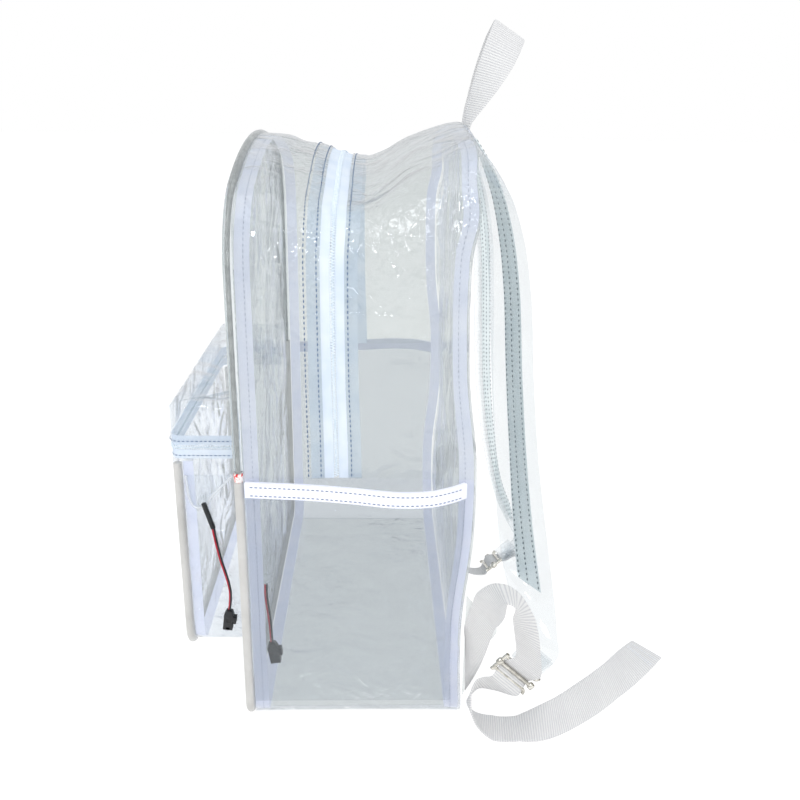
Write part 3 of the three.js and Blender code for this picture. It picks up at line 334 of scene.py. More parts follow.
def extrude(x: float = 0, y: float = 0, z: float = 0) -> None:
    """Extrudes the selected faces by a step in millimetres, in edit mode."""
    step = (x * MM, y * MM, z * MM)
    bpy.ops.mesh.extrude_region_move(TRANSFORM_OT_translate={"value": step})


def smooth(piece: bpy.types.Object, degrees: float = 40) -> bpy.types.Object:
    """Shades a piece smoothly, apart from edges sharper than an angle."""
    activate(piece)
    bpy.ops.object.shade_smooth_by_angle(angle=math.radians(degrees))
    return piece


def bevel(piece: bpy.types.Object, width: float, segments: int,
          angle: float = 0.5) -> bpy.types.Object:
    """Rounds a piece's edges that turn by more than an angle, by a width in millimetres."""
    apply_modifier(piece, "BEVEL", width=width * MM, segments=segments, limit_method="ANGLE",
                   angle_limit=angle)
    return piece


def weld(piece: bpy.types.Object, fill: bool = False) -> None:
    """Merges doubled points, closes open ends if asked, and turns the faces outwards.

    Args:
        piece: The mesh object.
        fill: Whether open ends get a flat face.
    """
    activate(piece)
    bpy.ops.object.mode_set(mode="EDIT")
    bpy.ops.mesh.select_all(action="SELECT")
    bpy.ops.mesh.remove_doubles(threshold=4e-6)
    if fill:
        bpy.ops.mesh.fill_holes(sides=0)
        bpy.ops.mesh.select_all(action="SELECT")
    bpy.ops.mesh.normals_make_consistent(inside=False)
    bpy.ops.object.mode_set(mode="OBJECT")


def lay_out(mesh: bpy.types.Mesh, rows: Rows) -> None:
    """Sets the UV map to the sheet's own lengths in metres.

    Args:
        mesh: A grid mesh whose points follow the rows.
        rows: The grid's points in millimetres.
    """
    middle = len(rows[0]) // 2
    places = []
    run = 0.0
    for k, row in enumerate(rows):
        run += (row[middle] - rows[k - 1][middle]).length if k else 0
        reach = 0.0
        for j, point in enumerate(row):
            reach += (point - row[j - 1]).length if j else 0
            places.append((reach * MM, run * MM))
    layer = mesh.uv_layers.active.data
    for loop in mesh.loops:
        layer[loop.index].uv = places[loop.vertex_index]


def sheet(name: str, rows: Rows, wall: float = 0, side: float = -1) -> bpy.types.Object:
    """Makes a sheet through rows of points, with its wall grown to one side.

    Args:
        name: The piece's name.
        rows: Points in millimetres; the face looks along column step x row step.
        wall: Wall thickness in millimetres, or 0 to leave the sheet open.
        side: -1 grows the wall inwards, 1 outwards, 0 both ways.

    Returns:
        The new mesh object.
    """
    deselect()
    bpy.ops.mesh.primitive_grid_add(
        x_subdivisions=len(rows[0]) - 1, y_subdivisions=len(rows) - 1, size=2, calc_uvs=True)
    piece = bpy.context.object
    piece.name = name
    piece.data.vertices.foreach_set("co", [v * MM for row in rows for point in row for v in point])
    lay_out(piece.data, rows)
    piece.data.update()
    if wall:
        apply_modifier(piece, "SOLIDIFY", thickness=wall * MM, offset=side)
    return smooth(piece)


def loft(name: str, rings: Rows, fill: bool = True) -> bpy.types.Object:
    """Makes a closed body through rings of points.

    Args:
        name: The piece's name.
        rings: Rings of points in millimetres, none with its first point repeated.
        fill: Whether the end rings get a flat face.

    Returns:
        The new mesh object.
    """
    piece = sheet(name, [[*ring, ring[0]] for ring in rings])
    weld(piece, fill)
    return smooth(piece)


def carried_frames(line: Sequence[Vector]) -> list[tuple[Vector, Vector, Vector]]:
    """Frames carried along a line without twist: tangent, side and lift at each point."""
    tangents = []
    for k in range(len(line)):
        ahead, behind = line[min(k + 1, len(line) - 1)], line[max(k - 1, 0)]
        tangents.append((ahead - behind).normalized())
    side = tangents[0].cross(UP)
    if side.length < 0.1:
        side = tangents[0].cross(Vector((0, 1, 0)))
    frames = []
    for tangent in tangents:
        side = (side - tangent * side.dot(tangent)).normalized()
        frames.append((tangent, side, tangent.cross(side)))
    return frames


def rings_along(line: Sequence[Vector], radius: float, sides: int) -> Rows:
    """Rings of a round tube along a line."""
    rings = []
    for point, (_, side, lift) in zip(line, carried_frames(line)):
        angles = [2 * math.pi * k / sides for k in range(sides)]
        rings.append([point + (side * math.cos(a) + lift * math.sin(a)) * radius for a in angles])
    return rings


def tube(name: str, line: Sequence[Vector], radius: float, sides: int = 20) -> bpy.types.Object:
    """Makes a round tube with softly turned ends along a line in millimetres."""
    tip_radius, tip_reach = 0.72, 0.18 * radius
    rings = rings_along(line, radius, sides)
    for end, step in ((0, 1), (-1, -1)):
        middle = line[end]
        outward = (line[end] - line[end + step]).normalized()
        shrunk = [middle + (p - middle) * tip_radius + outward * tip_reach for p in rings[end]]
        rings.insert(0 if end == 0 else len(rings), shrunk)
    return loft(name, rings)


def join(pieces: Sequence[bpy.types.Object], name: str) -> bpy.types.Object:
    """Joins pieces into one mesh under a new name."""
    activate(pieces[0])
    for piece in pieces:
        piece.select_set(True)
    bpy.ops.object.join()
    joined = bpy.context.object
    joined.name = name
    return joined


class Places(NamedTuple):
    """A seam line with the direction that its stitches face."""

    points: list[Vector]
    normals: list[Vector]


def seam_matrices(places: Places, pitch: float) -> list[Matrix]:
    """Frames along a seam, one each pitch, with X along it and Z facing out.

    Args:
        places: The seam line in millimetres.
        pitch: Distance from one stitch to the next.

    Returns:
        One matrix for each stitch.
    """
    matrices = []
    left = pitch / 2
    points = places.points
    for k in range(len(points) - 1):
        step = points[k + 1] - points[k]
        along = step.normalized()
        reach = left
        while reach < step.length:
            face = (places.normals[k] - along * places.normals[k].dot(along)).normalized()
            columns = Matrix((along, face.cross(along), face)).transposed()
            matrices.append(Matrix.Translation(points[k] + along * reach) @ columns.to_4x4())
            reach += pitch
        left = reach - step.length
    return matrices


def copies(name: str, model: bpy.types.Object, matrices: Sequence[Matrix]) -> bpy.types.Object:
    """Makes one mesh that holds a copy of a model at each matrix, then drops the model.

    Args:
        name: The new piece's name.
        model: The shape that repeats, in millimetres.
        matrices: Where each copy goes.

    Returns:
        The joined mesh object.
    """
    corners = [vertex.co.copy() for vertex in model.data.vertices]
    faces = [tuple(polygon.vertices) for polygon in model.data.polygons]
    points = [(matrix @ corner) * MM for matrix in matrices for corner in corners]
    shift = len(corners)
    sides = [tuple(v + k * shift for v in face) for k in range(len(matrices)) for face in faces]
    mesh = bpy.data.meshes.new(name)
    mesh.from_pydata(points, [], sides)
    bpy.data.objects.remove(model)
    piece = bpy.data.objects.new(name, mesh)
    bpy.context.scene.collection.objects.link(piece)
    return smooth(piece, 60)


def bead(length: float, breadth: float, height: float) -> bpy.types.Object:
    """A low bead for a stitch or tooth, in millimetres, longest along X."""
    deselect()
    bpy.ops.mesh.primitive_uv_sphere_add(
        segments=6, ring_count=4, radius=0.5, rotation=(0, math.pi / 2, 0))
    settle()
    bpy.ops.object.mode_set(mode="EDIT")
    bpy.ops.transform.resize(value=(length, breadth, height))
    bpy.ops.object.mode_set(mode="OBJECT")
    return bpy.context.object


@dataclass(frozen=True)
class Sewing:
    """A kind of stitch row, in millimetres."""

    pitch: float = 3.0
    length: float = 2.2
    breadth: float = 0.75
    height: float = 0.6

    def sew(self, name: str, seams: Sequence[Places], thread: bpy.types.Material, slot: Slot) -> None:
        """Makes the stitches of several seams as one mesh and hands it over."""
        matrices = [matrix for seam in seams for matrix in seam_matrices(seam, self.pitch)]
        piece = copies(name, bead(self.length, self.breadth, self.height), matrices)
        hand_over(piece, thread, slot)


def teeth(name: str, rows: Sequence[Places], shift: float, height: float) -> bpy.types.Object:
    """Makes a zip's teeth as two interleaved rows of small loops.

    Args:
        name: The piece's name.
        rows: The two lines that the teeth stand on.
        shift: How far the second row is set along.
        height: Height of a tooth.

    Returns:
        The joined mesh object.
    """
    pitch, length, breadth = 1.7, 1.05, 2.6
    matrices = []
    for row, along in zip(rows, (0, shift)):
        step = Matrix.Translation((along, 0, 0))
        matrices += [matrix @ step for matrix in seam_matrices(row, pitch)]
    return copies(name, bead(length, breadth, height), matrices)


class Wire:
    """A shader socket that takes Python arithmetic."""

    def __init__(self, recipe: "Recipe", socket: bpy.types.NodeSocket) -> None:
        """Keeps the socket and the recipe that its nodes go to."""
        self.recipe = recipe
        self.socket = socket

    def _math(self, operation: str, *terms: "Wire | float") -> "Wire":
        """Adds a Math node on the given terms."""
        return self.recipe.node("ShaderNodeMath", {"operation": operation}, dict(enumerate(terms)))

    def __add__(self, other: "Wire | float") -> "Wire":
        """Sum."""
        return self._math("ADD", self, other)

    def __mul__(self, other: "Wire | float") -> "Wire":
        """Product."""
        return self._math("MULTIPLY", self, other)

    def __pow__(self, other: float) -> "Wire":
        """Power."""
        return self._math("POWER", self, other)

    def sine(self) -> "Wire":
        """Sine."""
        return self._math("SINE", self)

    def above(self, level: float, width: float) -> "Wire":
        """Soft mask, 0 below a level and 1 a width above it."""
        settings = {"interpolation_type": "SMOOTHSTEP"}
        sockets = {0: self, 1: level, 2: level + width}
        return self.recipe.node("ShaderNodeMapRange", settings, sockets)


class Recipe:
    """The node tree of one material."""

    def __init__(self, name: str) -> None:
        """Starts a material with an empty tree."""
        self.material = bpy.data.materials.new(name)
        self.material.use_nodes = True
        self.tree = self.material.node_tree
        self.tree.nodes.clear()

    def node(self, kind: str, settings: dict | None = None, sockets: dict | None = None,
             output: int | str = 0) -> Wire:
        """Adds a node.

        Args:
            kind: The node's type.
            settings: Its properties; "stops" holds a ramp's places and colours.
            sockets: Its inputs by name or index, each a value or a Wire.
            output: The output that is wanted.

        Returns:
            That output.
        """
        node = self.tree.nodes.new(kind)
        for key, value in (settings or {}).items():
            if key == "stops":
                for k, (place, colour) in enumerate(value):
                    stop = node.color_ramp.elements[k] if k < 2 else node.color_ramp.elements.new(place)
                    stop.position = place
                    stop.color = colour
            else:
                setattr(node, key, value)
        for key, value in (sockets or {}).items():
            if isinstance(value, Wire):
                self.tree.links.new(value.socket, node.inputs[key])
            else:
                node.inputs[key].default_value = value
        return Wire(self, node.outputs[output])

    def place(self) -> Wire:
        """Object coordinates."""
        return self.node("ShaderNodeTexCoord", output="Object")

    def along(self, axis: int) -> Wire:
        """One coordinate of the piece's own UV map, in metres: 0 across it, 1 along it."""
        cloth = self.node("ShaderNodeTexCoord", output="UV")
        return self.node("ShaderNodeSeparateXYZ", sockets={0: cloth}, output=axis)

    def grain(self, scale: float, detail: float = 2, distortion: float = 0) -> Wire:
        """Noise on Object coordinates, from 0 to 1."""
        sockets = {"Vector": self.place(), "Scale": scale, "Detail": detail, "Distortion": distortion}
        return self.node("ShaderNodeTexNoise", sockets=sockets)

    def blend(self, factor: Wire | float, low: Sequence[float], high: Sequence[float]) -> Wire:
        """Colour between two others."""
        settings = {"data_type": "RGBA"}
        sockets = {0: factor, 6: (*low, 1), 7: (*high, 1)}
        return self.node("ShaderNodeMix", settings, sockets, 2)

    def bump(self, height: Wire, distance: float, strength: float = 1) -> Wire:
        """Normal tilted by a height, with the relief's depth in metres."""
        sockets = {"Height": height, "Distance": distance, "Strength": strength}
        return self.node("ShaderNodeBump", sockets=sockets, output="Normal")

    def clear(self, tint: Sequence[float]) -> Wire:
        """Shader that lets a tint of the light straight through."""
        return self.node("ShaderNodeBsdfTransparent", sockets={"Color": (*tint, 1)})

    def solid(self, colour: Wire | Sequence[float], rough: Wire | float, normal: Wire,
              **more: object) -> Wire:
        """Principled shader; further sockets are named with underscores for spaces."""
        base = colour if isinstance(colour, Wire) else (*colour, 1)
        sockets = {name.replace("_", " "): value for name, value in more.items()}
        return self.node("ShaderNodeBsdfPrincipled", sockets={
            "Base Color": base, "Roughness": rough, "Normal": normal, **sockets})

    def mix(self, factor: Wire | float, low: Wire, high: Wire) -> Wire:
        """Shader between two others."""
        return self.node("ShaderNodeMixShader", sockets={0: factor, 1: low, 2: high})

    def close(self, shader: Wire) -> bpy.types.Material:
        """Sends a shader to the surface and returns the material."""
        output = self.tree.nodes.new("ShaderNodeOutputMaterial")
        self.tree.links.new(shader.socket, output.inputs["Surface"])
        return self.material


@dataclass(frozen=True)
class FilmFinish:
    """Clear flexible film: a tint for each face it is seen through, gloss, haze and creases."""

    name: str
    tint: tuple[float, float, float] = (0.888, 0.9, 0.898)
    haze: float = 0.03
    haze_colour: tuple[float, float, float] = (0.8, 0.86, 0.9)
    crease_scale: float = 19
    crease_depth: float = 0.006
    gloss: float = 0.045
    roughness: float = 0.07

    def make(self) -> bpy.types.Material:
        """Builds the material."""
        recipe = Recipe(self.name)
        patch = recipe.grain(8, 1).above(0.47, 0.14)
        crease = recipe.grain(self.crease_scale, 1.5, 1.6)
        fine = recipe.grain(self.crease_scale * 6, 1, 1.2)
        normal = recipe.bump(crease + fine * (patch * 0.3 + 0.05), self.crease_depth)
        milky = recipe.solid(self.haze_colour, 0.5, normal)
        shine = recipe.solid((0.97, 0.98, 1), self.roughness, normal, Metallic=1.0)
        body = recipe.mix((patch * 0.6 + 0.5) * self.haze, recipe.clear(self.tint), milky)
        edge = recipe.node("ShaderNodeLayerWeight", sockets={"Blend": 0.5, "Normal": normal},
                           output="Facing")
        mirror = edge ** 5 * (1 - self.gloss) + self.gloss
        return recipe.close(recipe.mix(mirror, body, shine))


@dataclass(frozen=True)
class TapeFinish:
    """Thin woven tape that lets some light through, brightened by a faint painted glow in its own
    colour.
    """

    name: str
    colour: tuple[float, float, float]
    shade: tuple[float, float, float]
    cover: float = 0.82
    thread: float = 0.00055
    relief: float = 0.00012
    roughness: float = 0.5
    # Strength of painted light: the tape glows faintly in its own colour to lift its shaded faces.
    painted_glow: float = 0.14

    def make(self) -> bpy.types.Material:
        """Builds the material."""
        recipe = Recipe(self.name)
        turn = 2 * math.pi / self.thread
        weave = (recipe.along(0) * turn).sine() * (recipe.along(1) * turn).sine() * 0.5 + 0.5
        soft = recipe.grain(55, 3)
        normal = recipe.bump(weave + soft * 2, self.relief)
        colour = recipe.blend(soft.above(0.3, 0.45), self.shade, self.colour)
        # Painted light: emission in the tape's own colour brightens it where shade falls.
        cloth = recipe.solid(colour, self.roughness, normal, Emission_Color=(*self.colour, 1),
                             Emission_Strength=self.painted_glow)
        cover = weave * 0.1 + (self.cover - 0.05)
        return recipe.close(recipe.mix(cover, recipe.clear((0.93, 0.94, 0.97)), cloth))


@dataclass(frozen=True)
class WebbingFinish:
    """White woven webbing with a fine weave between its ribs, its grooves darkened with painted shade.
    """

    name: str
    colour: tuple[float, float, float] = (0.8, 0.8, 0.79)
    # Darker colour: painted shade in the weave's grooves, and random wear patches.
    shade: tuple[float, float, float] = (0.6, 0.6, 0.62)
    pitch: float = 0.0017

    def make(self) -> bpy.types.Material:
        """Builds the material."""
        recipe = Recipe(self.name)
        across = (recipe.along(0) * (2 * math.pi / (self.pitch * 0.45))).sine()
        along = (recipe.along(1) * (2 * math.pi / self.pitch)).sine()
        weave = across * 0.3 + along * 0.5 + 0.5
        lint = recipe.grain(420, 3)
        normal = recipe.bump(weave + lint * 0.6, 0.00022)
        wear = recipe.grain(22, 3).above(0.35, 0.4)
        # Colour: the weave's grooves take the darker colour as painted shade; random wear patches darken
        # it a little as well.
        colour = recipe.blend(along.above(-0.9, 1.1) * (wear * 0.35 + 0.65), self.shade, self.colour)
        return recipe.close(recipe.solid(colour, 0.72, normal, Sheen_Weight=0.25))


@dataclass(frozen=True)
class SolidFinish:
    """A plain opaque finish with fine mottling, wear and a little relief."""

    name: str
    colour: tuple[float, float, float]
    shade: tuple[float, float, float]
    scale: float = 90
    roughness: float = 0.4
    roughness_spread: float = 0.15
    metallic: float = 0.0
    relief: float = 0.00008
    coat: float = 0.0

    def make(self) -> bpy.types.Material:
        """Builds the material."""
        recipe = Recipe(self.name)
        mottle = recipe.grain(self.scale, 4, 0.4)
        fine = recipe.grain(self.scale * 9, 2)
        colour = recipe.blend(mottle.above(0.3, 0.4), self.shade, self.colour)
        rough = mottle * self.roughness_spread + (self.roughness - self.roughness_spread / 2)
        normal = recipe.bump(fine + mottle, self.relief)
        return recipe.close(recipe.solid(colour, rough, normal, Metallic=self.metallic,
                                         Coat_Weight=self.coat))


@dataclass(frozen=True)
class GuideFinish:
    """Clear soft light guide that bends the view through it."""

    name: str
    colour: tuple[float, float, float] = (0.82, 0.86, 0.87)

    def make(self) -> bpy.types.Material:
        """Builds the material."""
        recipe = Recipe(self.name)
        streak = recipe.grain(30, 3)
        normal = recipe.bump(streak, 0.0006)
        rough = streak * 0.08 + 0.04
        return recipe.close(recipe.solid(self.colour, rough, normal, Transmission_Weight=0.9, IOR=1.4))


@dataclass(frozen=True)
class LampFinish:
    """Small lamp head: milky sleeve with red leads showing through in places."""

    name: str

    def make(self) -> bpy.types.Material:
        """Builds the material."""
        recipe = Recipe(self.name)
        patch = recipe.grain(330, 2, 0.6)
        colour = recipe.blend(patch.above(0.52, 0.06), (0.9, 0.86, 0.84), (0.75, 0.03, 0.03))
        normal = recipe.bump(patch, 0.0003)
        return recipe.close(recipe.solid(colour, 0.3, normal))


class Finishes:
    """Every material of the bag, made once."""

    def __init__(self) -> None:
        """Builds the materials."""
        self.film = FilmFinish("clear_film").make()
        self.low_film = FilmFinish("lower_film", tint=(0.9, 0.91, 0.918), haze=0.01, gloss=0.026).make()
        self.pocket_film = FilmFinish("pocket_film", tint=(0.957, 0.967, 0.977), crease_scale=24,
                                      haze=0.05).make()
        self.strap_film = FilmFinish("strap_film", tint=(0.93, 0.94, 0.945), crease_scale=9,
                                     crease_depth=0.002, haze=0.05).make()
        self.tab_film = FilmFinish("tab_film", tint=(0.95, 0.96, 0.97), haze=0.75,
                                   haze_colour=(0.93, 0.95, 0.97)).make()
        # The binding and hem glow more: painted light that lifts their shaded faces.
        self.binding = TapeFinish("binding_tape", (0.88, 0.89, 0.98), (0.8, 0.83, 0.96),
                                  painted_glow=0.18).make()
        self.hem = TapeFinish("hem_tape", (0.88, 0.89, 0.97), (0.8, 0.82, 0.94), cover=0.9,
                              painted_glow=0.2).make()
        self.zip_tape = TapeFinish("zip_tape", (0.78, 0.84, 0.9), (0.66, 0.75, 0.86), cover=0.66,
                                   thread=0.0009).make()
        self.strip = TapeFinish("strap_strip", (0.78, 0.84, 0.84), (0.7, 0.77, 0.78), cover=0.7,
                                thread=0.0012).make()
        self.webbing = WebbingFinish("webbing").make()
        self.guide = GuideFinish("light_guide").make()
        self.core = SolidFinish("guide_core", (0.5, 0.51, 0.5), (0.34, 0.35, 0.35), 200).make()
        self.conduit = SolidFinish("conduit", (0.58, 0.575, 0.56), (0.5, 0.495, 0.48), 60, 0.33,
                                   coat=0.3).make()
        self.lamp = LampFinish("lamp").make()
        self.metal = SolidFinish("plated_wire", (0.78, 0.76, 0.7), (0.5, 0.48, 0.43), 160, 0.2, 0.2,
                                 metallic=1.0).make()
        self.black = SolidFinish("black_plastic", (0.018, 0.02, 0.024), (0.01, 0.011, 0.013), 260,
                                 0.42).make()
        self.red_wire = SolidFinish("red_wire", (0.62, 0.02, 0.05), (0.42, 0.01, 0.03), 300,
                                    0.35).make()
        self.black_wire = SolidFinish("black_wire", (0.025, 0.022, 0.03), (0.012, 0.01, 0.015), 300,
                                      0.35).make()
        self.teeth = SolidFinish("zip_teeth", (0.8, 0.87, 0.93), (0.66, 0.76, 0.85), 500, 0.3).make()
        self.white_thread = SolidFinish("white_thread", (0.88, 0.9, 0.93), (0.75, 0.78, 0.85), 900,
                                        0.6).make()
        self.blue_thread = SolidFinish("blue_thread", (0.15, 0.22, 0.34), (0.09, 0.14, 0.24), 900,
                                       0.6).make()
        self.grey_thread = SolidFinish("grey_thread", (0.5, 0.54, 0.66), (0.36, 0.4, 0.52), 900,
                                       0.6).make()
        # Strap stitches: real stitch rows, coloured dark as painted shade of their needle holes.
        self.painted_hole_shade_thread = SolidFinish("painted_hole_shade_thread", (0.14, 0.18, 0.2), (0.08, 0.1, 0.12), 900,
                                       0.6).make()


def hand_over(piece: bpy.types.Object, material: bpy.types.Material | None, slot: Slot,
              *nodes: str) -> None:
    """Dresses a finished piece and ties it to the frame.

    Args:
        piece: The finished mesh object.
        material: Its finish, or None where it already has its own.
        slot: The record's material slot; not used.
        nodes: The CAD nodes that it stands for.
    """
    if material is not None:
        piece.data.materials.clear()
        piece.data.materials.append(material)
    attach(piece, "root")
    if nodes:
        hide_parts(*nodes)
    LOG.info("%s: %d faces", piece.name, len(piece.data.polygons))


@dataclass
class Assembly:
    """What most sub-assemblies share: the bag's form, its finishes, the film's wall and a small gap."""

    form: BagForm
    finishes: Finishes
    wall: float = field(default=0.6, kw_only=True)
    gap: float = field(default=0.3, kw_only=True)

    def film(self, node: str, rows: Rows, material: bpy.types.Material, grow: float = -1) -> None:
        """Builds one film panel through rows of points and hands it over for its node.

        Args:
            node: The CAD node.
            rows: Points in millimetres.
            material: Its finish.
            grow: Which way the wall grows, as for a sheet.
        """
        hand_over(sheet(f"{node}_film", rows, self.wall, grow), material, Slot.CLEAR, node)


@dataclass
class MainShell(Assembly):
    """Clear walls, base and panels of the main compartment, with the bindings over its seams."""

    pitch: float = 3.2
    overlap: float = 8.5
    overlap_lift: float = 0.9
    binding_width: float = 9
    binding_inset: float = 1.6
    binding_wall: float = 0.55
    front_inset: float = 4.8
    lap_run: float = 3
    pucker_span: float = 7
    pucker_depth: float = 0.9
    stitch_shift: float = 0.8
    base_pitch: float = 5
    base_rim: float = 25
    dent_bias: float = 0.2

    def strip(self, start: float, end: float, depths: Sequence[float],
              inset: Callable[[float, float], float]) -> Rows:
        """Rows of shell points between two outline places."""
        places = self.form.back.places(start, end, self.pitch)
        return [[self.form.point(t, y, inset(t, y)) for y in depths] for t in places]

    def upper_wall(self, word: str, outer: float, edge: float, away: float) -> None:
        """Builds the side-and-top wall on one side of the zip, lapped over its tape.

        Args:
            word: "front" or "rear".
            outer: Depth of its sewn edge.
            edge: Depth of the tape's edge.
            away: Sign of Y from the zip to the sewn edge.
        """
        run = self.lap_run
        depths = sorted([*between(outer, edge + away * run, 3),
                         *between(edge + away * (run - 1), edge - away * self.overlap, 1.5)])
        rows = self.strip(Mark.JOIN, Mark.WHOLE - Mark.JOIN, depths,
                          lambda t, y: -self.overlap_lift * ease(edge + away * run, edge, y))
        self.film(f"upper_wall_{word}", rows, self.finishes.film)

    def lower_wall(self, side: Side) -> None:
        """Builds the side wall below the zip's end, turned in under the foot."""
        form = self.form
        depths = between(form.shell_front, form.shell_back, 3.2)
        end = form.back.place_at(form.back.join - self.gap)
        rows = self.strip(Mark.FOOT + 0.02, end, depths, lambda t, y: 0)
        if side is Side.LEFT:
            rows = [[Vector((-p.x, p.y, p.z)) for p in row] for row in reversed(rows)]
        self.film(f"lower_wall_{side.word}", rows, self.finishes.low_film)

    def base(self) -> None:
        """Builds the base panel, lifted here and there by soft dents."""
        form = self.form
        reach = form.back.half - form.back.foot
        rows = []
        for y in between(form.shell_front, form.shell_back, self.base_pitch):
            row = []
            for x in between(-reach, reach, self.base_pitch):
                rim = min(reach - abs(x), form.shell_back - y, y - form.shell_front)
                lift = 3 * ease(0, self.base_rim, rim) * self.dent(Vector((x, y, 7)), 55, 0)
                row.append(Vector((x, y, self.wall + 0.05 + lift)))
            rows.append(row)
        self.film("base_panel", rows, self.finishes.film)

    def dent(self, spot: Vector, span: float, bias: float) -> float:
        """Share of a dent's depth at a spot, never below 0.

        Args:
            spot: The spot in millimetres, with a seed in its idle coordinate.
            span: Size of the dents.
            bias: More gives wider dents.
        """
        return max(0, noise.noise(spot / span) + bias)

    def panel(self, outline: PanelOutline, inset: float, foot_lift: float,
              depth: Callable[[float, float, float], float]) -> Rows:
        """Rows of a front or back panel, each a chord between its two sides."""
        rows = []
        for t in outline.places(Mark.FOOT, Mark.TOP, self.pitch * 1.4):
            station = outline.at(t)
            edge = max(station.x - inset * station.nx, 0)
            z = station.z - inset * station.nz + foot_lift * max(-station.nz, 0)
            rows.append([Vector((edge * s, depth(s, edge * s, z), z)) for s in between(-1, 1, 1 / 32)])
        return rows

    def panels(self) -> None:
        """Builds the front and back panels, each with dents that lean inwards."""
        form = self.form

        def front_depth(share: float, x: float, z: float) -> float:
            """Depth of the front panel."""
            loose = ease(1, 0.8, abs(share)) * ease(8, 60, z) * ease(380, 330, z)
            return form.front_plane + loose * self.dent(Vector((x, 3, z)), 70, self.dent_bias) * 3

        def back_depth(share: float, x: float, z: float) -> float:
            """Depth of the back panel."""
            loose = ease(1, 0.8, abs(share)) * ease(8, 60, z) * ease(390, 330, z)
            dent = loose * self.dent(Vector((x, 9, z)), 80, self.dent_bias) * 4
            side = ease(0, 40, z) * ease(395, 360, z)
            return form.back_plane - 0.5 + form.wave(z) * side * abs(share) ** 4 - dent

        front = self.panel(form.front, self.front_inset, form.foot_lift, front_depth)
        self.film("front_panel", front, self.finishes.film, 0)
        self.film("back_panel", self.panel(form.back, 0, 0, back_depth), self.finishes.film, 0)

    def binding(self, name: str, start: float, end: float, inner: float) -> None:
        """Builds the binding tape over one inner seam, puckered along its inner edge.

        Args:
            name: The CAD node.
            start: Depth of its front edge.
            end: Depth of its rear edge.
            inner: Whichever of the two lies inside the bag.
        """
        form = self.form
        rows = []
        for t in form.back.places(0, Mark.WHOLE, 2.4):
            row = []
            for y in between(start, end, 1.5):
                free = abs(y - (start + end - inner)) / self.binding_width
                spot = form.point(t, y)
                pucker = free * (0.5 + noise.noise(spot / self.pucker_span)) * self.pucker_depth
                row.append(form.point(t, y, self.binding_inset + pucker))
            rows.append(row)
        rows[-1] = [point.copy() for point in rows[0]]
        piece = sheet(f"{name}_tape", rows)
        weld(piece)
        apply_modifier(piece, "SOLIDIFY", thickness=self.binding_wall * MM, offset=-1)
        hand_over(smooth(piece), self.finishes.binding, Slot.TAPE, name)
        middle = (start + end) / 2 + self.stitch_shift * (1 if inner == end else -1)
        places = form.back.places(0.02, Mark.WHOLE - 0.02, 4)
        points = [form.point(t, middle, self.binding_inset + 0.1) for t in places]
        faces = [form.facing(t, middle) for t in places]
        Sewing(pitch=3.4, breadth=0.5).sew(f"{name}_stitches", [Places(points, faces)],
                                           self.finishes.grey_thread, Slot.TAPE)

    def build(self) -> None:
        """Builds every piece of the shell."""
        form = self.form
        zip_half = MainZip.coil_half + MainZip.tape_width + 2 * self.gap
        self.upper_wall("front", form.shell_front, form.zip_middle - zip_half, -1)
        self.upper_wall("rear", form.shell_back, form.zip_middle + zip_half, 1)
        for side in Side:
            self.lower_wall(side)
        self.base()
        self.panels()
        front = form.shell_front + self.gap
        back = form.shell_back - self.gap
        reach = self.binding_width
        self.binding("front_seam_binding", front, front + reach, front + reach)
        self.binding("back_seam_binding", back - reach, back, back - reach)


@dataclass
class EdgePiping(Assembly):
    """Piping round the front seam: clear light guide above, opaque conduit below, lamp between."""

    radius: float = 3
    core_radius: float = 1.1
    inset: float = 1
    lamp_height: float = 186.2
    lamp_length: float = 6.4
    waist: float = 1.6
    end_radius: float = 0.84

    def centre(self, t: float) -> Vector:
        """Middle of the piping at an outline place."""
        station = self.form.front.at(t)
        z = station.z + self.form.foot_lift * max(-station.nz, 0) - self.inset * station.nz
        return Vector((station.x - self.inset * station.nx, self.form.front_plane, z))

    def line(self, start: float, end: float) -> list[Vector]:
        """Points of the piping between two outline places."""
        return [self.centre(t) for t in self.form.front.places(start, end, 3)]

    def lamp(self) -> None:
        """Builds the lamp head: a short sleeve with a waist, turned by bevels and a ring."""
        middle = Vector((self.form.front.half - self.inset, self.form.front_plane, self.lamp_height))
        deselect()
        bpy.ops.mesh.primitive_cylinder_add(
            vertices=20, radius=self.radius * MM, depth=self.lamp_length * MM, location=middle * MM)
        piece = bpy.context.object
        piece.name = "led_head_sleeve"
        settle()
        bpy.ops.object.mode_set(mode="EDIT")
        for height in (-self.waist, self.waist):
            bpy.ops.mesh.select_all(action="SELECT")
            bpy.ops.mesh.bisect(plane_co=(middle + UP * height) * MM, plane_no=(0, 0, 1))
        bpy.ops.object.mode_set(mode="OBJECT")
        for vertex in piece.data.vertices:
            rise = abs(vertex.co.z / MM - middle.z)
            if rise > self.waist + 0.1:
                vertex.co.x = lerp(middle.x * MM, vertex.co.x, self.end_radius)
                vertex.co.y = lerp(middle.y * MM, vertex.co.y, self.end_radius)
        hand_over(smooth(bevel(piece, 0.5, 3, 0.4)), self.finishes.lamp, Slot.LAMP, "led_head")

    def build(self) -> None:
        """Builds the light guide with its core, the conduit and the lamp."""
        outline = self.form.front
        half = self.lamp_length / 2 + self.gap
        upper = self.line(outline.place_at(self.lamp_height + half),
                          Mark.WHOLE - outline.place_at(self.lamp_height))
        lower_start = Mark.WHOLE - outline.place_at(self.lamp_height - self.gap)
        lower_end = outline.place_at(self.lamp_height - half)
        lower = [*self.line(lower_start, Mark.WHOLE)[:-1], *self.line(0, lower_end)]
        guide = tube("light_pipe_guide", upper, self.radius - 0.05, 24)
        core = tube("light_pipe_core", upper, self.core_radius, 12)
        hand_over(guide, self.finishes.guide, Slot.PIPE, "light_pipe")
        hand_over(core, self.finishes.core, Slot.PIPE)
        hand_over(tube("light_conduit_skin", lower, self.radius, 20), self.finishes.conduit,
                  Slot.CONDUIT, "light_conduit")
        self.lamp()


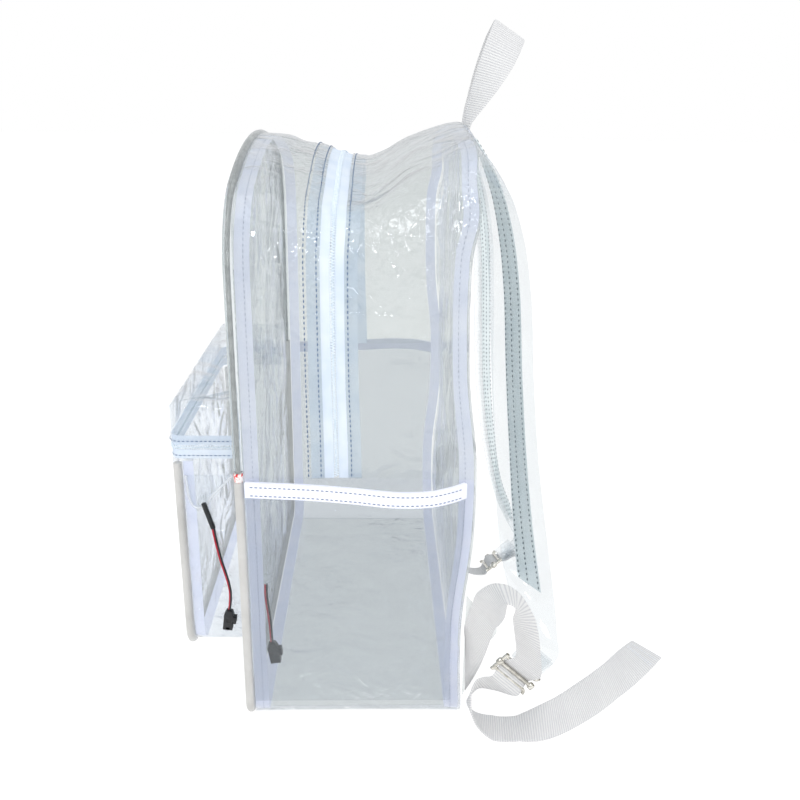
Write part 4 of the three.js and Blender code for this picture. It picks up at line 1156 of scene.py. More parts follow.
@dataclass
class MainZip(Assembly):
    """Zip over the bag's top: two woven tapes, interlocked teeth, stitch rows, slider and pull."""

    tape_width: float = 14
    tape_wall: float = 0.5
    coil_half: float = 1.2
    tooth_stand: float = 0.55
    tooth_inset: float = -0.35
    tooth_shift: float = 0.85
    tooth_height: float = 1.5
    slider_height: float = 228
    stitch_depths: tuple[float, ...] = (-28.2, -20.4, -1.6)

    def strip(self, node: str, start: float, end: float) -> None:
        """Builds one tape between two depths."""
        rows = [[self.form.point(t, y, 0.1) for y in between(start, end, 2)]
                for t in self.form.back.places(Mark.JOIN, Mark.WHOLE - Mark.JOIN, 3.2)]
        hand_over(sheet(f"{node}_weave", rows, self.tape_wall), self.finishes.zip_tape, Slot.TAPE, node)

    def seam(self, depth: float, inset: float) -> Places:
        """Line over the bag at one depth."""
        places = self.form.back.places(Mark.JOIN + 0.02, Mark.WHOLE - Mark.JOIN - 0.02, 3.2)
        points = [self.form.point(t, depth, inset) for t in places]
        return Places(points, [self.form.facing(t, depth) for t in places])

    def build(self) -> None:
        """Builds the zip."""
        middle = self.form.zip_middle
        inner = self.coil_half + self.gap
        outer = inner + self.tape_width
        self.strip("zip_tape_front", middle - outer, middle - inner)
        self.strip("zip_tape_rear", middle + inner, middle + outer)
        lines = [self.seam(middle + side * self.tooth_stand, self.tooth_inset) for side in (-1, 1)]
        hand_over(teeth("zip_coil_teeth", lines, self.tooth_shift, self.tooth_height),
                  self.finishes.teeth, Slot.TAPE, "zip_coil")
        rows = [self.seam(depth, -0.95) for depth in self.stitch_depths]
        Sewing(pitch=3.3, breadth=0.8).sew("zip_stitches", rows, self.finishes.blue_thread, Slot.TAPE)
        place = Mark.WHOLE - self.form.back.place_at(self.slider_height)
        seat = self.form.point(place, middle, -0.8)
        ZipSlider(self.finishes, seat, 0.12, "zip").build()


@dataclass
class ZipSlider:
    """Plated slider with its hanging pull, on a wall that faces -X."""

    finishes: Finishes
    seat: Vector
    tilt: float
    word: str
    length: float = 11
    width: float = 8
    height: float = 4
    pull_length: float = 20
    pull_width: float = 5
    pull_thickness: float = 1.2
    waist: float = 0.6
    bridge: float = 0.7
    rim: float = 0.24
    sink: float = 0.4
    gap: float = 0.3

    def body(self) -> bpy.types.Object:
        """Builds the slider: a waisted plate with a raised bridge."""
        centre = Vector((-self.height / 4, 0, 0))
        piece = cube(f"{self.word}_slider_body", centre, (self.height / 2, self.width, self.length))
        bpy.ops.object.mode_set(mode="EDIT")
        cut(UP, 0)
        pick(piece, lambda spot, face: face.z < -0.9)
        bpy.ops.transform.resize(value=(1, self.waist, 1))
        pick(piece, lambda spot, face: face.x < -0.9)
        bpy.ops.mesh.inset(thickness=self.width * self.rim * MM)
        extrude(x=-self.height / 2)
        bpy.ops.transform.resize(value=(1, self.bridge, self.bridge))
        bpy.ops.object.mode_set(mode="OBJECT")
        return smooth(bevel(piece, 0.45, 3))

    def pull(self) -> bpy.types.Object:
        """Builds the pull: a plate that widens downwards, with a sunk middle."""
        centre = Vector((-self.pull_thickness / 2, 0, -self.pull_length / 2))
        size = (self.pull_thickness, self.pull_width, self.pull_length)
        piece = cube(f"{self.word}_pull_plate", centre, size)
        bpy.ops.object.mode_set(mode="EDIT")
        pick(piece, lambda spot, face: face.z > 0.9)
        bpy.ops.transform.resize(value=(1, self.bridge, 1))
        pick(piece, lambda spot, face: face.x < -0.9)
        bpy.ops.mesh.inset(thickness=1.1 * MM)
        extrude(x=self.sink)
        bpy.ops.object.mode_set(mode="OBJECT")
        return smooth(bevel(piece, 0.3, 2))

    def build(self) -> None:
        """Builds both and sets them on the wall."""
        body = self.body()
        body.data.transform(Matrix.Translation(self.seat * MM))
        pull = self.pull()
        lift = Vector((-self.height - self.gap, 0, 0))
        turn = Matrix.Rotation(-self.tilt, 4, "X")
        pull.data.transform(Matrix.Translation((self.seat + lift) * MM) @ turn)
        hand_over(body, self.finishes.metal, Slot.METAL, f"{self.word}_slider")
        hand_over(pull, self.finishes.metal, Slot.METAL, f"{self.word}_pull")


def cube(name: str, centre: Vector, size: Sequence[float]) -> bpy.types.Object:
    """Adds a cube of a size in millimetres and leaves it active."""
    deselect()
    bpy.ops.mesh.primitive_cube_add(size=1, location=centre * MM, scale=[side * MM for side in size])
    settle()
    piece = bpy.context.object
    piece.name = name
    return piece


def cut(normal: Vector, offset: float) -> None:
    """Cuts all faces along a plane, in edit mode, at an offset in millimetres."""
    bpy.ops.mesh.select_all(action="SELECT")
    bpy.ops.mesh.bisect(plane_co=normal * offset * MM, plane_no=normal)


def pick(piece: bpy.types.Object, test: Callable[[Vector, Vector], bool]) -> None:
    """Selects the faces whose middle, in millimetres, and normal pass a test, in edit mode."""
    bpy.ops.mesh.select_mode(type="FACE")
    bpy.ops.mesh.select_all(action="DESELECT")
    mesh = bmesh.from_edit_mesh(piece.data)
    mesh.normal_update()
    for face in mesh.faces:
        face.select_set(test(face.calc_center_median() / MM, face.normal))
    bmesh.update_edit_mesh(piece.data)


@dataclass
class SidePocket(Assembly):
    """Open-topped film pocket on one side, with a folded hem tape."""

    side: Side
    top: float = 183
    bottom: float = 17
    billow: float = 14
    hem_height: float = 9
    hem_wall: float = 0.8
    front_margin: float = 1
    back_margin: float = 6
    dent_depth: float = 1.6
    stitch_margin: float = 1.6
    billow_rows: Table = Table((0, 0), (0.3, 0.28), (0.5, 0.62), (0.68, 1), (0.84, 0.92), (0.94, 0.45),
                               (1, 0))

    def point(self, across: float, rise: float, out: float = 0) -> Vector:
        """Point of the pocket's outer face at shares across and up."""
        form = self.form
        z = lerp(self.bottom, self.top, rise)
        y = lerp(form.shell_front + self.front_margin, form.shell_back - self.back_margin, across)
        fill = math.sin(math.pi / 2 * min(rise * 1.5, 1))
        foot = 1 - (self.hem_height + self.gap) / (self.top - self.bottom)
        lip = (self.hem_wall + self.gap) * ease(foot - self.hem_height / self.top, foot, rise)
        taut = math.sin(math.pi * across) * ease(0, 0.15, rise) * ease(1, 0.85, rise)
        dent = noise.noise(Vector((across * 5, rise * 4, 11 * self.side.value)))
        billow = self.billow * self.billow_rows.at(across) * fill
        stand = self.gap + 1 + billow + lip + out + taut * dent * self.dent_depth
        return Vector((self.side.value * (form.back.half + stand), y + form.wave(z) * across ** 2, z))

    def panel(self) -> None:
        """Builds the pocket's film."""
        rows = [[self.point(a, r) for a in between(0, 1, 0.025)] for r in between(0, 1, 0.025)]
        if self.side is Side.LEFT:
            rows = [row[::-1] for row in rows]
        self.film(f"side_pocket_{self.side.word}", rows, self.finishes.low_film)

    def hem(self) -> None:
        """Builds the folded hem and its two stitch rows."""
        slot = 0.5 + self.gap
        rim = slot + self.hem_wall
        low = -self.hem_height
        section = [(-rim, low), (-slot, low), (-slot, -2), (-slot, self.gap), (slot, self.gap),
                   (slot, -2), (slot, low), (rim, low), (rim, low / 2), (rim, self.gap),
                   (rim * 0.7, self.gap + self.hem_wall), (-rim * 0.7, self.gap + self.hem_wall),
                   (-rim, self.gap), (-rim, low / 2)]
        path = [self.point(a, 1, -0.5) for a in between(0, 1, 0.02)]
        frames = carried_frames(path)
        outs = [tangent.cross(UP).normalized() for tangent, _, _ in frames]
        rings = [[p + out * u + UP * v for u, v in section] for p, out in zip(path, outs)]
        piece = loft(f"side_pocket_hem_{self.side.word}_tape", rings)
        hand_over(piece, self.finishes.hem, Slot.TAPE, f"side_pocket_hem_{self.side.word}")
        facing = self.side.value
        faces = [out * facing for out in outs]
        seams = []
        for drop in (self.stitch_margin, self.hem_height - self.stitch_margin):
            points = [p + face * rim - UP * drop for p, face in zip(path, faces)]
            seams.append(Places(points[1:-1], faces[1:-1]))
        Sewing().sew(f"side_pocket_hem_stitches_{self.side.word}", seams, self.finishes.blue_thread,
                     Slot.TAPE)

    def build(self) -> None:
        """Builds the pocket."""
        self.panel()
        self.hem()


@dataclass
class FrontPocket(Assembly):
    """Zipped film pocket on the front panel."""

    half: float = 107
    bottom: float = 26
    top: float = 217
    front: float = -126
    back: float = -72.8
    zip_top: float = 194
    zip_bottom: float = 177
    face: float = -121.5
    foot: float = 14
    corner: float = 7
    coil_half: float = 1.2
    pipe_radius: float = 3
    shoulder: float = 5
    lap: float = 0.9
    tape_inset: float = 0.3
    tape_wall: float = 0.5
    belly_depth: float = 4
    binding_width: float = 7
    binding_wall: float = 0.55
    belly: Table = Table((0, 0), (0.5, 0.15), (0.8, 0.6), (1, 1))

    @property
    def coil_middle(self) -> float:
        """Height of the zip's teeth."""
        return (self.zip_top + self.zip_bottom) / 2

    def around(self, inset: float = 0, pitch: float = 3) -> list[Vector]:
        """Line round the pocket in plan: up the right side, across the front and back on the left."""
        x, y, r = self.half - inset, self.front + inset, self.corner - inset
        bends = [(x - r, 0), (-x + r, 90)]
        line = [Vector((x, v, 0)) for v in between(self.back, y + r, pitch)][:-1]
        for middle, start in bends:
            for angle in between(start, start + 90, 15):
                a = math.radians(angle)
                line.append(Vector((middle + r * math.cos(a), y + r - r * math.sin(a), 0)))
            if start == 0:
                line += [Vector((v, y, 0)) for v in between(x - r, -x + r, pitch)][1:-1]
        return [*line, *[Vector((-x, v, 0)) for v in between(y + r, self.back, pitch)][1:]]

    def tape(self, node: str, low: float, high: float) -> None:
        """Builds a zip tape round the pocket between two heights."""
        heights = between(low, high, 2)
        rows = [[Vector((p.x, p.y, z)) for z in heights] for p in self.around(self.tape_inset)]
        hand_over(sheet(f"{node}_weave", rows, self.tape_wall), self.finishes.zip_tape, Slot.TAPE, node)

    def lid(self) -> None:
        """Builds the film box above the zip, sagging between its taut edges."""
        edge = self.shoulder
        levels = [(0, z) for z in between(self.zip_top - 6, self.top - edge, 3)]
        levels += [(edge - edge * math.cos(a), self.top - edge + edge * math.sin(a))
                   for a in between(0.3, math.pi / 2, 0.3)]
        levels += [(edge + run, self.top) for run in (3, 7, 12, 18, 25, 33, 42, 53)]
        plan = self.around()
        loops = [[self.lid_point(p, inward, height) for p in plan] for inward, height in levels]
        self.film("pocket_lid", [list(column) for column in zip(*loops)], self.finishes.pocket_film)

    def lid_point(self, spot: Vector, inward: float, height: float) -> Vector:
        """Point of the lid: the plan line drawn in towards the back, at a height."""
        reach = self.half - inward
        x = max(-reach, min(reach, spot.x))
        y = min(max(spot.y, self.front + inward), self.back)
        lap = self.lap * ease(self.zip_top + 3, self.zip_top, height)
        out = Vector((spot.x, spot.y - self.back, 0)).normalized() * lap
        dent = noise.noise(Vector((spot.x, spot.y, height + inward)) / 33)
        sag = ease(4, 30, inward) * (3 + 2.5 * dent)
        pinch = 0.0 if inward else 0.8 * ease(self.top, self.top - 14, height) * (0.4 + dent)
        toward = 1 if x < 0 else -1
        return Vector((x + out.x + pinch * toward, y + out.y, height - sag))

    def zip_band(self) -> None:
        """Builds the pocket zip: two tapes, teeth and stitch rows."""
        middle = self.coil_middle
        inner = self.coil_half + self.gap
        self.tape("pocket_zip_tape_upper", middle + inner, self.zip_top)
        self.tape("pocket_zip_tape_lower", self.zip_bottom + self.gap, middle - inner)
        line = self.around(0.2)
        faces = [UP.cross(tangent) for tangent, _, _ in carried_frames(line)]
        heights = (middle - MainZip.tooth_stand, middle + MainZip.tooth_stand)
        lines = [Places([Vector((p.x, p.y, z)) for p in line], faces) for z in heights]
        hand_over(teeth("pocket_zip_coil_teeth", lines, 0.8, 1.4), self.finishes.teeth, Slot.TAPE,
                  "pocket_zip_coil")
        seams = []
        for height, lift in ((self.zip_top - 3.6, 1.15), (self.zip_bottom + 2.4, -0.05)):
            points = [Vector((p.x, p.y, height)) + f * lift for p, f in zip(line, faces)]
            seams.append(Places(points, faces))
        Sewing(breadth=0.8).sew("pocket_zip_stitches", seams, self.finishes.blue_thread, Slot.TAPE)

    def side_line(self, inset: float, pitch: float = 3) -> list[tuple[Vector, Vector]]:
        """Outline below the zip, down the left and up the right, with its outward directions."""
        x, low, r = self.half - inset, self.bottom + inset, self.foot - inset
        line = [(Vector((x, 0, z)), Vector((1, 0, 0)))
                for z in between(self.zip_bottom, low + r, pitch)][:-1]
        for angle in between(0, -90, 9):
            a = math.radians(angle)
            face = Vector((math.cos(a), 0, math.sin(a)))
            line.append((Vector((x - r, 0, low + r)) + face * r, face))
        line += [(Vector((v, 0, low)), Vector((0, 0, -1))) for v in between(x - r, 0, pitch)][1:]
        mirrored = [(Vector((-p.x, 0, p.z)), Vector((-f.x, 0, f.z))) for p, f in line]
        return [*mirrored, *line[-2::-1]]

    def side_wall(self) -> None:
        """Builds the film round the sides and foot, lapped over the lower tape at the top."""
        start = self.face + self.pipe_radius + self.gap
        rows = []
        for spot, face in self.side_line(0):
            row = []
            for y in between(start, self.back, 2.6):
                soft = math.sin(math.pi * clamp((y - start) / (self.back - start)))
                rough = noise.noise(Vector((spot.x * 0.6, y, spot.z)) / 28) - 0.35
                dent = 0 if face.z < -0.5 else 1.8 * soft * rough
                row.append(spot + face * dent + Vector((0, y, 0)))
            rows.append(row)
        self.film("pocket_side_wall", rows, self.finishes.pocket_film)
        rows = [[spot + face * (-1.45 - 0.25 * math.sin(3 * k)) + Vector((0, y, 0))
                 for y in between(start, start + self.binding_width, 1)]
                for k, (spot, face) in enumerate(self.side_line(0, 2.4))
                if spot.z < self.zip_bottom - 0.5]
        binding = sheet("pocket_binding_tape", rows, self.binding_wall)
        hand_over(binding, self.finishes.binding, Slot.TAPE, "pocket_binding")

    def front_panel(self) -> None:
        """Builds the panel below the zip, taut at its piping and standing forward at the top."""
        inset = self.pipe_radius + 2 * self.gap
        low = self.bottom + inset
        foot = self.foot - inset
        rows = []
        for rise in [0, 0.006, 0.015, *between(0.03, 1, 0.025)]:
            z = lerp(low, self.zip_bottom - self.gap, rise)
            drop = max(low + foot - z, 0)
            edge = self.half - inset - foot + math.sqrt(max(foot ** 2 - drop ** 2, 0))
            row = []
            for s in between(-1, 1, 0.04):
                taut = (1 - s ** 4) * math.sin(math.pi * rise)
                dent = taut * 1.5 * noise.noise(Vector((edge * s, 21, z)) / 34)
                y = self.face + self.gap - self.belly_depth * self.belly.at(rise) + dent
                row.append(Vector((edge * s, y, z)))
            rows.append(row)
        self.film("pocket_front_panel", rows, self.finishes.pocket_film, 1)

    def piping(self) -> None:
        """Builds the opaque piping round the pocket's front edge."""
        line = [spot + Vector((0, self.face, 0)) for spot, _ in self.side_line(0)]
        line = [p for p in line if p.z <= self.zip_bottom - self.gap]
        piece = tube("pocket_piping_skin", line, self.pipe_radius, 20)
        hand_over(piece, self.finishes.conduit, Slot.CONDUIT, "pocket_piping")

    def build(self) -> None:
        """Builds the pocket with its slider."""
        self.lid()
        self.zip_band()
        self.side_wall()
        self.front_panel()
        self.piping()
        seat = Vector((-self.half - self.gap, self.front + 8, self.coil_middle))
        ZipSlider(self.finishes, seat, -0.25, "pocket_zip").build()


@dataclass
class CableTab:
    """Rounded flap of film on the pocket's right wall, over the lead's slit."""

    finishes: Finishes
    plane: float = 107.35
    front: float = -116.5
    top: float = 165
    width: float = 32
    height: float = 25
    wall: float = 1.1
    rim: float = 1.05
    edge_rows: tuple[tuple[float, float, float], ...] = (
        (0, 0, 1), (0.3, 0.02, 0.78), (0.5, 0.032, 0.62), (0.7, 0.055, 0.5), (0.86, 0.095, 0.425),
        (0.95, 0.15, 0.36), (1, 0.25, 0.255))

    def build(self) -> None:
        """Builds the flap with a thick welded rim."""
        ahead = Table(*[(drop, low) for drop, low, _ in self.edge_rows])
        behind = Table(*[(drop, high) for drop, _, high in self.edge_rows])
        rows = []
        for drop in between(1, 0, 0.04):
            low, high = ahead.at(drop), behind.at(drop)
            rows.append([Vector((self.plane, self.front + self.width * lerp(low, high, s),
                                 self.top - self.height * drop)) for s in between(0, 1, 0.06)])
        flap = sheet("cable_tab_film", rows, self.wall, 1)
        edge = [row[0] for row in rows[::-1]] + [row[-1] for row in rows[1:]]
        edge = [p + Vector((self.wall / 2 + 0.1, 0, 0)) for p in edge]
        rim = tube("cable_tab_rim", Curve(edge).evenly(1.2), self.rim, 10)
        hand_over(flap, self.finishes.pocket_film, Slot.CLEAR, "cable_tab")
        hand_over(rim, self.finishes.tab_film, Slot.CLEAR)


@dataclass
class Lead:
    """A pair of red and black wires with a two-pin connector on its end."""

    finishes: Finishes
    word: str
    route: Sequence[tuple[float, float, float]]
    lean: float
    turn: float
    wire: float = 0.64
    spacing: float = 0.62
    step: float = 1.5
    twist: float = 0.9
    connector_length: float = 15.5
    connector_width: float = 7
    connector_thickness: float = 5.4
    latch: float = 2.2
    gap: float = 0.3
    steps: tuple[float, ...] = (0.22, 0.3, 0.34, 0.6, 0.68)
    mouth: float = 0.45

    @property
    def line(self) -> list[Vector]:
        """Points of the pair's middle line."""
        return Curve([Vector(p) for p in self.route]).evenly(self.step)

    def wires(self) -> bpy.types.Object:
        """Builds both wires as one mesh along the route, slightly twisted."""
        line = self.line
        frames = carried_frames(line)
        strands = []
        for word, sign in (("red", 1), ("black", -1)):
            points = []
            for k, (p, (_, side, lift)) in enumerate(zip(line, frames)):
                angle = self.turn + self.twist * k / len(line)
                offset = side * math.cos(angle) + lift * math.sin(angle)
                points.append(p + offset * sign * self.spacing)
            strands.append(loft(f"{self.word}_{word}_strand", rings_along(points, self.wire, 10)))
        for strand, material in zip(strands, (self.finishes.red_wire, self.finishes.black_wire)):
            strand.data.materials.append(material)
        return join(strands, f"{self.word}_wires")

    def connector(self) -> bpy.types.Object:
        """Builds the connector: neck, shoulders, latch arm and forked mouth."""
        width, length, thick = self.connector_width, self.connector_length, self.connector_thickness
        half = width / 2
        mouth = half * self.mouth
        arm_top, arm_foot, sunk_foot = (-length * share for share in self.steps[1:4])
        centre = Vector((0, 0, -length / 2))
        piece = cube(f"{self.word}_connector_housing", centre, (thick, width, length))
        bpy.ops.object.mode_set(mode="EDIT")
        for share in self.steps:
            cut(UP, -length * share)
        for offset in (mouth, -mouth):
            cut(Vector((0, 1, 0)), offset)
        pick(piece, lambda spot, face: face.z > 0.9)
        bpy.ops.transform.resize(value=(0.8, 0.62, 1))
        pick(piece, lambda spot, face: face.z < -0.9 and abs(spot.y) < mouth)
        extrude(z=length * 0.16)
        pick(piece, lambda spot, face: face.y > 0.9 and arm_foot < spot.z < arm_top)
        extrude(y=self.latch)
        pick(piece, lambda spot, face: face.z < -0.9 and spot.y > half + 0.2)
        extrude(z=-length * 0.3)
        pick(piece, lambda spot, face: abs(face.x) > 0.9 and sunk_foot < spot.z < arm_foot
             and abs(spot.y) < mouth)
        bpy.ops.mesh.inset(thickness=0.45 * MM)
        extrude()
        bpy.ops.transform.resize(value=(0.84, 1, 1))
        bpy.ops.object.mode_set(mode="OBJECT")
        bevel(piece, 0.22, 2)
        end = Vector(self.route[-1]) - UP * self.gap
        piece.data.transform(Matrix.Translation(end * MM) @ Matrix.Rotation(self.lean, 4, "X"))
        return smooth(piece)

    def build(self, diameter: float) -> None:
        """Args:
            diameter: The pair's width in metres; not used.
        """
        wires = self.wires()
        connector = self.connector()
        hand_over(wires, None, Slot.WIRE, self.word)
        hand_over(connector, self.finishes.black, Slot.BLACK, f"{self.word}_connector")
        path = [p * MM for p in self.line]
        length = sum((b - a).length for a, b in zip(self.line, self.line[1:])) * MM


POCKET_LEAD_ROUTE = (
    (110.9, -99.2, 125.6), (110.9, -98.3, 118.5), (110.9, -96.9, 109.5), (111.0, -95.0, 99.5),
    (111.2, -92.8, 91.0), (111.3, -91.0, 83.0), (111.3, -89.9, 75.0), (111.3, -90.2, 67.0),
    (111.2, -91.2, 59.5))
BAG_LEAD_ROUTE = (
    (153.4, -58.0, 107.0), (153.2, -58.2, 101.0), (152.9, -58.0, 94.0), (152.4, -57.4, 87.0),
    (151.9, -56.8, 80.0), (151.4, -56.4, 73.0), (151.1, -56.2, 66.0), (150.9, -56.0, 60.0))


@dataclass
class Leads:
    """The battery lead that leaves the front pocket and the one inside the bag."""

    finishes: Finishes
    sleeve_radius: float = 1.8
    sleeve_length: float = 20
    diameter: float = 0.0026

    def build(self) -> None:
        """Builds both leads and the black sleeve at the slit."""
        top = Vector(POCKET_LEAD_ROUTE[0]) + Vector((0, -0.06, 0.3))
        start = top + Vector((0.2, -0.27 * self.sleeve_length, 0.96 * self.sleeve_length))
        line = [start.lerp(top, share) for share in between(0, 1, 1 / 8)]
        sleeve = tube("lead_sleeve_skin", line, self.sleeve_radius, 16)
        hand_over(sleeve, self.finishes.black, Slot.BLACK, "lead_sleeve")
        for word, route, lean, turn in (("pocket_lead", POCKET_LEAD_ROUTE, -0.12, 1.4),
                                        ("bag_lead", BAG_LEAD_ROUTE, 0.16, 1.2)):
            Lead(self.finishes, word, route, lean, turn).build(self.diameter)


class BandRow(NamedTuple):
    """A section of a flat band: its place and width, and its width's direction in degrees."""

    x: float
    y: float
    z: float
    turn: float
    tilt: float
    width: float


class BandFrame(NamedTuple):
    """A fine section of a flat band."""

    origin: Vector
    across: Vector
    face: Vector
    width: float
    run: float


def width_direction(turn: float, tilt: float) -> Vector:
    """Direction given by a turn about Z from X and a tilt above the floor, in degrees."""
    a, b = math.radians(turn), math.radians(tilt)
    return Vector((math.cos(b) * math.cos(a), math.cos(b) * math.sin(a), math.sin(b)))


def band_frames(rows: Sequence[BandRow], pitch: float, lift: float = 0) -> list[BandFrame]:
    """Fine sections of a band through its rows.

    Args:
        rows: The band's own sections.
        pitch: Distance between the fine ones.
        lift: How far they stand off the line, along the band's face.

    Returns:
        The fine sections in order.
    """
    curve = Curve([Vector((r.x, r.y, r.z)) for r in rows])
    widths = [width_direction(r.turn, r.tilt) for r in rows]
    frames: list[BandFrame] = []
    run = 0.0
    for low in range(len(rows) - 1):
        chord = (curve.points[low + 2] - curve.points[low + 1]).length
        steps = max(2, round(chord * 1.03 / pitch))
        for k in range(steps + (low == len(rows) - 2)):
            blend = k / steps
            share = (low + blend) / curve.spans
            across = widths[low].lerp(widths[low + 1], blend).normalized()
            face = curve.tangent(share).cross(across).normalized()
            origin = curve.at(share) + face * lift
            run += (origin - frames[-1].origin).length if frames else 0
            width = lerp(rows[low].width, rows[low + 1].width, blend)
            frames.append(BandFrame(origin, across, face, width, run))
    return frames


def band(name: str, frames: Sequence[BandFrame], thickness: float, cuts: Sequence[float],
         relief: Callable[[float, float], float] = lambda share, run: 1) -> bpy.types.Object:
    """Makes a flat band with a rounded edge.

    Args:
        name: The piece's name.
        frames: Its sections.
        thickness: Its thickness in millimetres.
        cuts: Shares of the half width at which the section has points.
        relief: Share of the thickness at a share across and a run along.

    Returns:
        The new mesh object.
    """
    rings = []
    for place in frames:
        half = place.width / 2
        ring = []
        for sign in (-1, 1):
            shares = cuts if sign < 0 else list(reversed(cuts))
            for share in shares:
                edge = math.sqrt(max(1 - abs(share) ** 14, 0.12))
                lift = sign * thickness / 2 * edge * relief(share, place.run)
                ring.append(place.origin + place.across * half * share + place.face * lift)
        rings.append(ring)
    return loft(name, rings)


def band_seam(frames: Sequence[BandFrame], share: float, lift: float, sign: float) -> Places:
    """Seam line along a band, at a share across it, on one face."""
    points = [f.origin + f.across * f.width / 2 * share + f.face * lift * sign for f in frames]
    return Places(points, [f.face * sign for f in frames])


@dataclass(frozen=True)
class Glide:
    """Place of a tri-glide: its centre, its bars' direction and the direction of its strap."""

    centre: Vector
    bars: Vector
    up: Vector

    @property
    def axes(self) -> tuple[Vector, Vector, Vector]:
        """Bars, up and face as unit vectors square to each other."""
        bars = self.bars.normalized()
        up = (self.up - bars * self.up.dot(bars)).normalized()
        return bars, up, bars.cross(up)

    def at(self, along: float, up: float, out: float) -> Vector:
        """Point given by the tri-glide's own axes."""
        bars, rise, face = self.axes
        return self.centre + bars * along + rise * up + face * out

    def matrix(self) -> Matrix:
        """Frame of the tri-glide in metres."""
        columns = Matrix(self.axes).transposed().to_4x4()
        return Matrix.Translation(self.centre * MM) @ columns

    def angles(self, sign: float) -> tuple[float, float]:
        """Turn and tilt of the bars' direction, in degrees."""
        bars = self.axes[0] * sign
        return math.degrees(math.atan2(bars.y, bars.x)), math.degrees(math.asin(bars.z))


GLIDES = {
    Side.RIGHT: Glide(Vector((160, 111.3, 40.1)), Vector((0, 0.734, -0.679)),
                      Vector((0, 0.679, 0.734))),
    Side.LEFT: Glide(Vector((-8, 115.5, 30)), Vector((-0.955, -0.05, -0.29)),
                     Vector((-0.15, 0.8, 0.58))),
}


@dataclass
class TriGlide:
    """Wire tri-glide buckle with its sliding centre bar, and the strap's keeper round its upper bar."""

    finishes: Finishes
    side: Side
    wire: float = 1.3
    span: float = 30.4
    pitch: float = 10.9
    collar_length: float = 4
    collar_wall: float = 0.65
    gap: float = 0.3
    keeper_length: float = 13
    keeper_thickness: float = 1
    keeper_width: float = 24

    def frame(self) -> bpy.types.Object:
        """Builds the frame: a wire ring bent at four corners by spinning its end."""
        radius = 2 * self.wire
        half, pitch = self.span / 2, self.pitch
        deselect()
        bpy.ops.mesh.primitive_circle_add(
            vertices=14, radius=self.wire * MM, rotation=(math.pi / 2, 0, 0),
            location=(half * MM, -(pitch - radius) * MM, 0))
        piece = bpy.context.object
        piece.name = f"glide_frame_{self.side.word}_wire"
        settle()
        bpy.ops.object.mode_set(mode="EDIT")
        bpy.ops.mesh.select_all(action="SELECT")
        runs = [((0, 1), (1, 1)), ((-1, 0), (-1, 1)), ((0, -1), (-1, -1)), ((1, 0), (1, -1))]
        for (dx, dy), (cx, cy) in runs:
            reach = 2 * ((half - radius) if dx else (pitch - radius))
            extrude(dx * reach, dy * reach)
            centre = (cx * (half - radius) * MM, cy * (pitch - radius) * MM, 0)
            bpy.ops.mesh.spin(steps=6, angle=math.pi / 2, center=centre, axis=(0, 0, 1))
        bpy.ops.object.mode_set(mode="OBJECT")
        weld(piece)
        return smooth(piece, 60)

    def bar(self) -> bpy.types.Object:
        """Builds the centre bar with a collar at each rail."""
        half = self.span / 2
        hole = self.wire + self.gap
        collar = hole + self.collar_wall
        reach = half - collar + 0.3
        line = [Vector((x, 0, 0)) for x in between(-reach, reach, 2)]
        parts = [loft(f"glide_bar_{self.side.word}_rod", rings_along(line, self.wire, 14))]
        for sign in (-1, 1):
            profile = [(hole, -1), (collar - 0.3, -1), (collar, -0.8), (collar, 0.8), (collar - 0.3, 1),
                       (hole, 1)]
            rings = []
            for angle in between(0, 2 * math.pi, math.pi / 10)[:-1]:
                out = Vector((math.cos(angle), 0, math.sin(angle)))
                rise = Vector((0, self.collar_length / 2, 0))
                rings.append([Vector((sign * half, 0, 0)) + out * r + rise * v for r, v in profile])
            ring = sheet(f"glide_collar_{sign}", [[*r, r[0]] for r in [*rings, rings[0]]])
            weld(ring)
            parts.append(smooth(ring, 60))
        return join(parts, f"glide_bar_{self.side.word}_wire")

    def keeper(self, glide: Glide) -> None:
        """Builds the strap's end film, folded round the upper bar."""
        wrap = self.wire + self.gap + self.keeper_thickness / 2
        places = [(self.pitch + v, -wrap) for v in between(self.keeper_length, 1, 2)]
        for angle in between(-90, -270, 15):
            a = math.radians(angle)
            places.append((self.pitch + wrap * math.cos(a), wrap * math.sin(a)))
        places += [(self.pitch + v, wrap) for v in between(1, self.keeper_length, 2)]
        rows = []
        for up, out in places:
            bulge = 1 + 0.02 * math.sin(up)
            reach = self.keeper_width / 2 * bulge
            rows.append([glide.at(s * reach, up, out) for s in between(-1, 1, 0.125)])
        piece = sheet(f"strap_keeper_{self.side.word}_film", rows, self.keeper_thickness, 0)
        hand_over(piece, self.finishes.strap_film, Slot.CLEAR, f"strap_keeper_{self.side.word}")

    def build(self) -> None:
        """Builds the buckle in its place."""
        glide = GLIDES[self.side]
        frame_piece = self.frame()
        bar_piece = self.bar()
        for piece, node in ((frame_piece, "glide_frame"), (bar_piece, "glide_bar")):
            piece.data.transform(glide.matrix())
            hand_over(piece, self.finishes.metal, Slot.METAL, f"{node}_{self.side.word}")
        self.keeper(glide)


